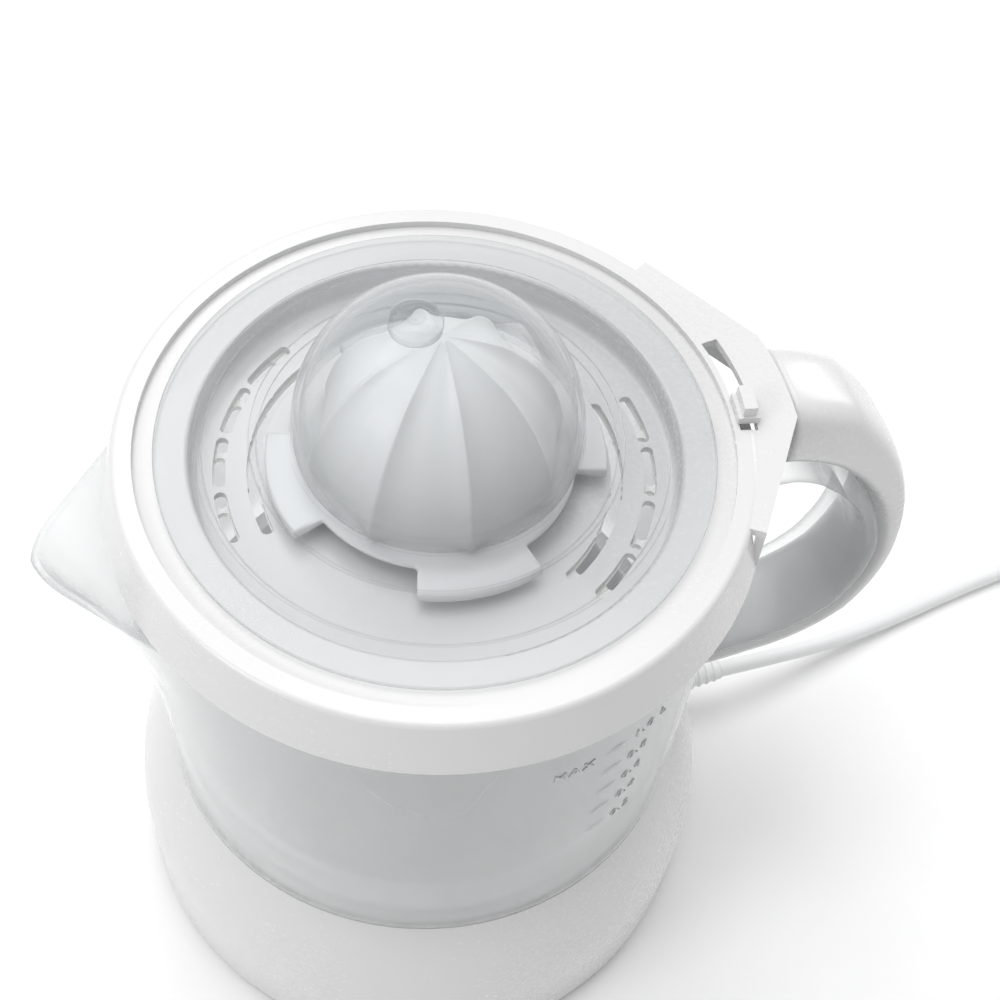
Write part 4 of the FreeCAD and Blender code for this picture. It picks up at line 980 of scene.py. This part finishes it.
@dataclass
class Plug:
    """Flat two-pin plug: a waisted body with finger grooves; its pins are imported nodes."""

    finishes: Finishes
    length: float = 36.0
    height: float = 12.8
    lift: float = 7.0
    squareness: float = 3.0

    def width(self, share: float) -> float:
        """Half width of the body at a share of its length."""
        stops = ((0.0, 4.0), (0.12, 4.6), (0.33, 7.0), (0.62, 10.2), (0.83, 12.9), (0.96, 12.9), (1.0, 12.2))
        for (low, a), (high, b) in zip(stops, stops[1:]):
            if share <= high:
                t = (share - low) / (high - low)
                return a + (b - a) * t * t * (3 - 2 * t)
        return stops[-1][1]

    def build(self, tail: Vector, along: Vector) -> bpy.types.Object:
        """Loft the body from the cord's end.

        Args:
            tail: the cord's end, in metres.
            along: level direction in which the pins point.

        Returns:
            The body's object.
        """
        side = Vector((-along.y, along.x, 0.0))

        def loft(work: bmesh.types.BMesh) -> None:
            """Join the rounded sections."""
            rings, steps, around = [], 72, 40
            for k in range(steps + 1):
                share = k / steps
                wide = self.width(share)
                tall = self.height / 2 * min(0.62 + share * 1.5, 1.0)
                if 0.3 < share < 0.78:
                    wide -= 0.45 * (0.5 - 0.5 * math.cos((share - 0.3) / 0.48 * 2 * math.pi * 5))
                if share > 0.97:
                    tall -= 0.5
                ring = []
                for j in range(around):
                    turn = 2 * math.pi * j / around
                    c, q = (math.copysign(abs(v) ** (2 / self.squareness), v)
                            for v in (math.cos(turn), math.sin(turn)))
                    spot = along * (share * self.length) + side * (wide * c) + Vector((0, 0, tall * q))
                    ring.append(work.verts.new(spot * MM + Vector((tail.x, tail.y, self.lift * MM))))
                rings.append(ring)
            for ring, after in zip(rings, rings[1:]):
                for j in range(around):
                    nxt = (j + 1) % around
                    work.faces.new((ring[j], after[j], after[nxt], ring[nxt]))
            work.faces.new(rings[0])
            work.faces.new(rings[-1][::-1])

        return settle(mesh_piece("plug_grip", loft), Body.BASE, self.finishes.of("cord_pvc"),
                      ("plug_body",))


@dataclass
class Studio:
    """Pale floor, soft lights and the camera."""

    azimuth: float = -21.2
    elevation: float = 54.3
    roll: float = 6.15
    distance: float = 0.4445
    aim: tuple[float, float] = (0.01547, -0.01474)
    height: float = 0.190
    lens: float = 64.53
    sky: float = 0.56

    def camera(self) -> None:
        """Place the camera."""
        turn, lift, roll = (math.radians(a) for a in (self.azimuth - 90.0, self.elevation, self.roll))
        back = Vector((math.cos(lift) * math.cos(turn), math.cos(lift) * math.sin(turn), math.sin(lift)))
        level = Vector((-math.sin(turn), math.cos(turn), 0.0))
        upright = back.cross(level)
        right = level * math.cos(roll) + upright * math.sin(roll)
        up = upright * math.cos(roll) - level * math.sin(roll)
        eye = Vector((0, 0, self.height)) + right * self.aim[0] + up * self.aim[1] + back * self.distance
        lens = bpy.data.cameras.new("camera")
        lens.lens, lens.sensor_width = self.lens, 36.0
        lens.clip_start, lens.clip_end = 0.02, 20.0
        camera = new_object("camera", lens)
        turned = Matrix((right, up, back)).transposed().to_4x4()
        camera.matrix_world = Matrix.Translation(eye) @ turned
        bpy.context.scene.camera = camera

    def panel(self, name: str, place: Sequence[float], width: float, power: float) -> None:
        """A square soft light that faces the press."""
        light = bpy.data.lights.new(name, "AREA")
        light.shape, light.size, light.energy = "SQUARE", width, power
        made = new_object(name, light)
        made.location = place
        made.rotation_euler = (Vector((0, 0, 0.12)) - Vector(place)).to_track_quat("-Z", "Y").to_euler()

    def stage(self) -> None:
        """Lay the floor and hang the lights."""
        paint = Paint("pale_floor")
        grain = paint.noise(60.0)
        floor_paint = paint.finish(paint.node("ShaderNodeBsdfPrincipled", values={
            "Base Color": paint.between(grain, (0.95, 0.95, 0.95), (0.97, 0.97, 0.97)), "Roughness": 0.9}))
        floor = mesh_piece("floor", lambda work: bmesh.ops.create_grid(
            work, x_segments=8, y_segments=8, size=6.0))
        floor.data.materials.append(floor_paint)
        world = bpy.data.worlds.new("sky")
        world.use_nodes = True
        world.node_tree.nodes["Background"].inputs["Color"].default_value = (1.0, 1.0, 1.0, 1.0)
        world.node_tree.nodes["Background"].inputs["Strength"].default_value = self.sky
        bpy.context.scene.world = world
        self.panel("overhead", (-0.15, 0.35, 1.25), 1.1, 10.5)
        self.panel("window", (-1.1, -0.35, 0.9), 0.5, 4.0)
        self.panel("edge", (1.0, 0.5, 0.6), 0.5, 3.0)
        bpy.context.scene.view_settings.view_transform = "Standard"


def main() -> None:
    """Build the camera, the cord and then every other piece."""
    studio = Studio()
    studio.camera()
    finishes = Finishes()
    PackedParts(finishes).dress()
    MainsCord(finishes).build()
    jug = Jug(finishes)
    jug.build()
    Handle(finishes).build(jug.radius)
    Relief(finishes).build()
    LargeReamer(finishes).build()
    Lid(finishes).build()
    studio.stage()
    bpy.context.view_layer.update()


if __name__ == "__main__":
    main()
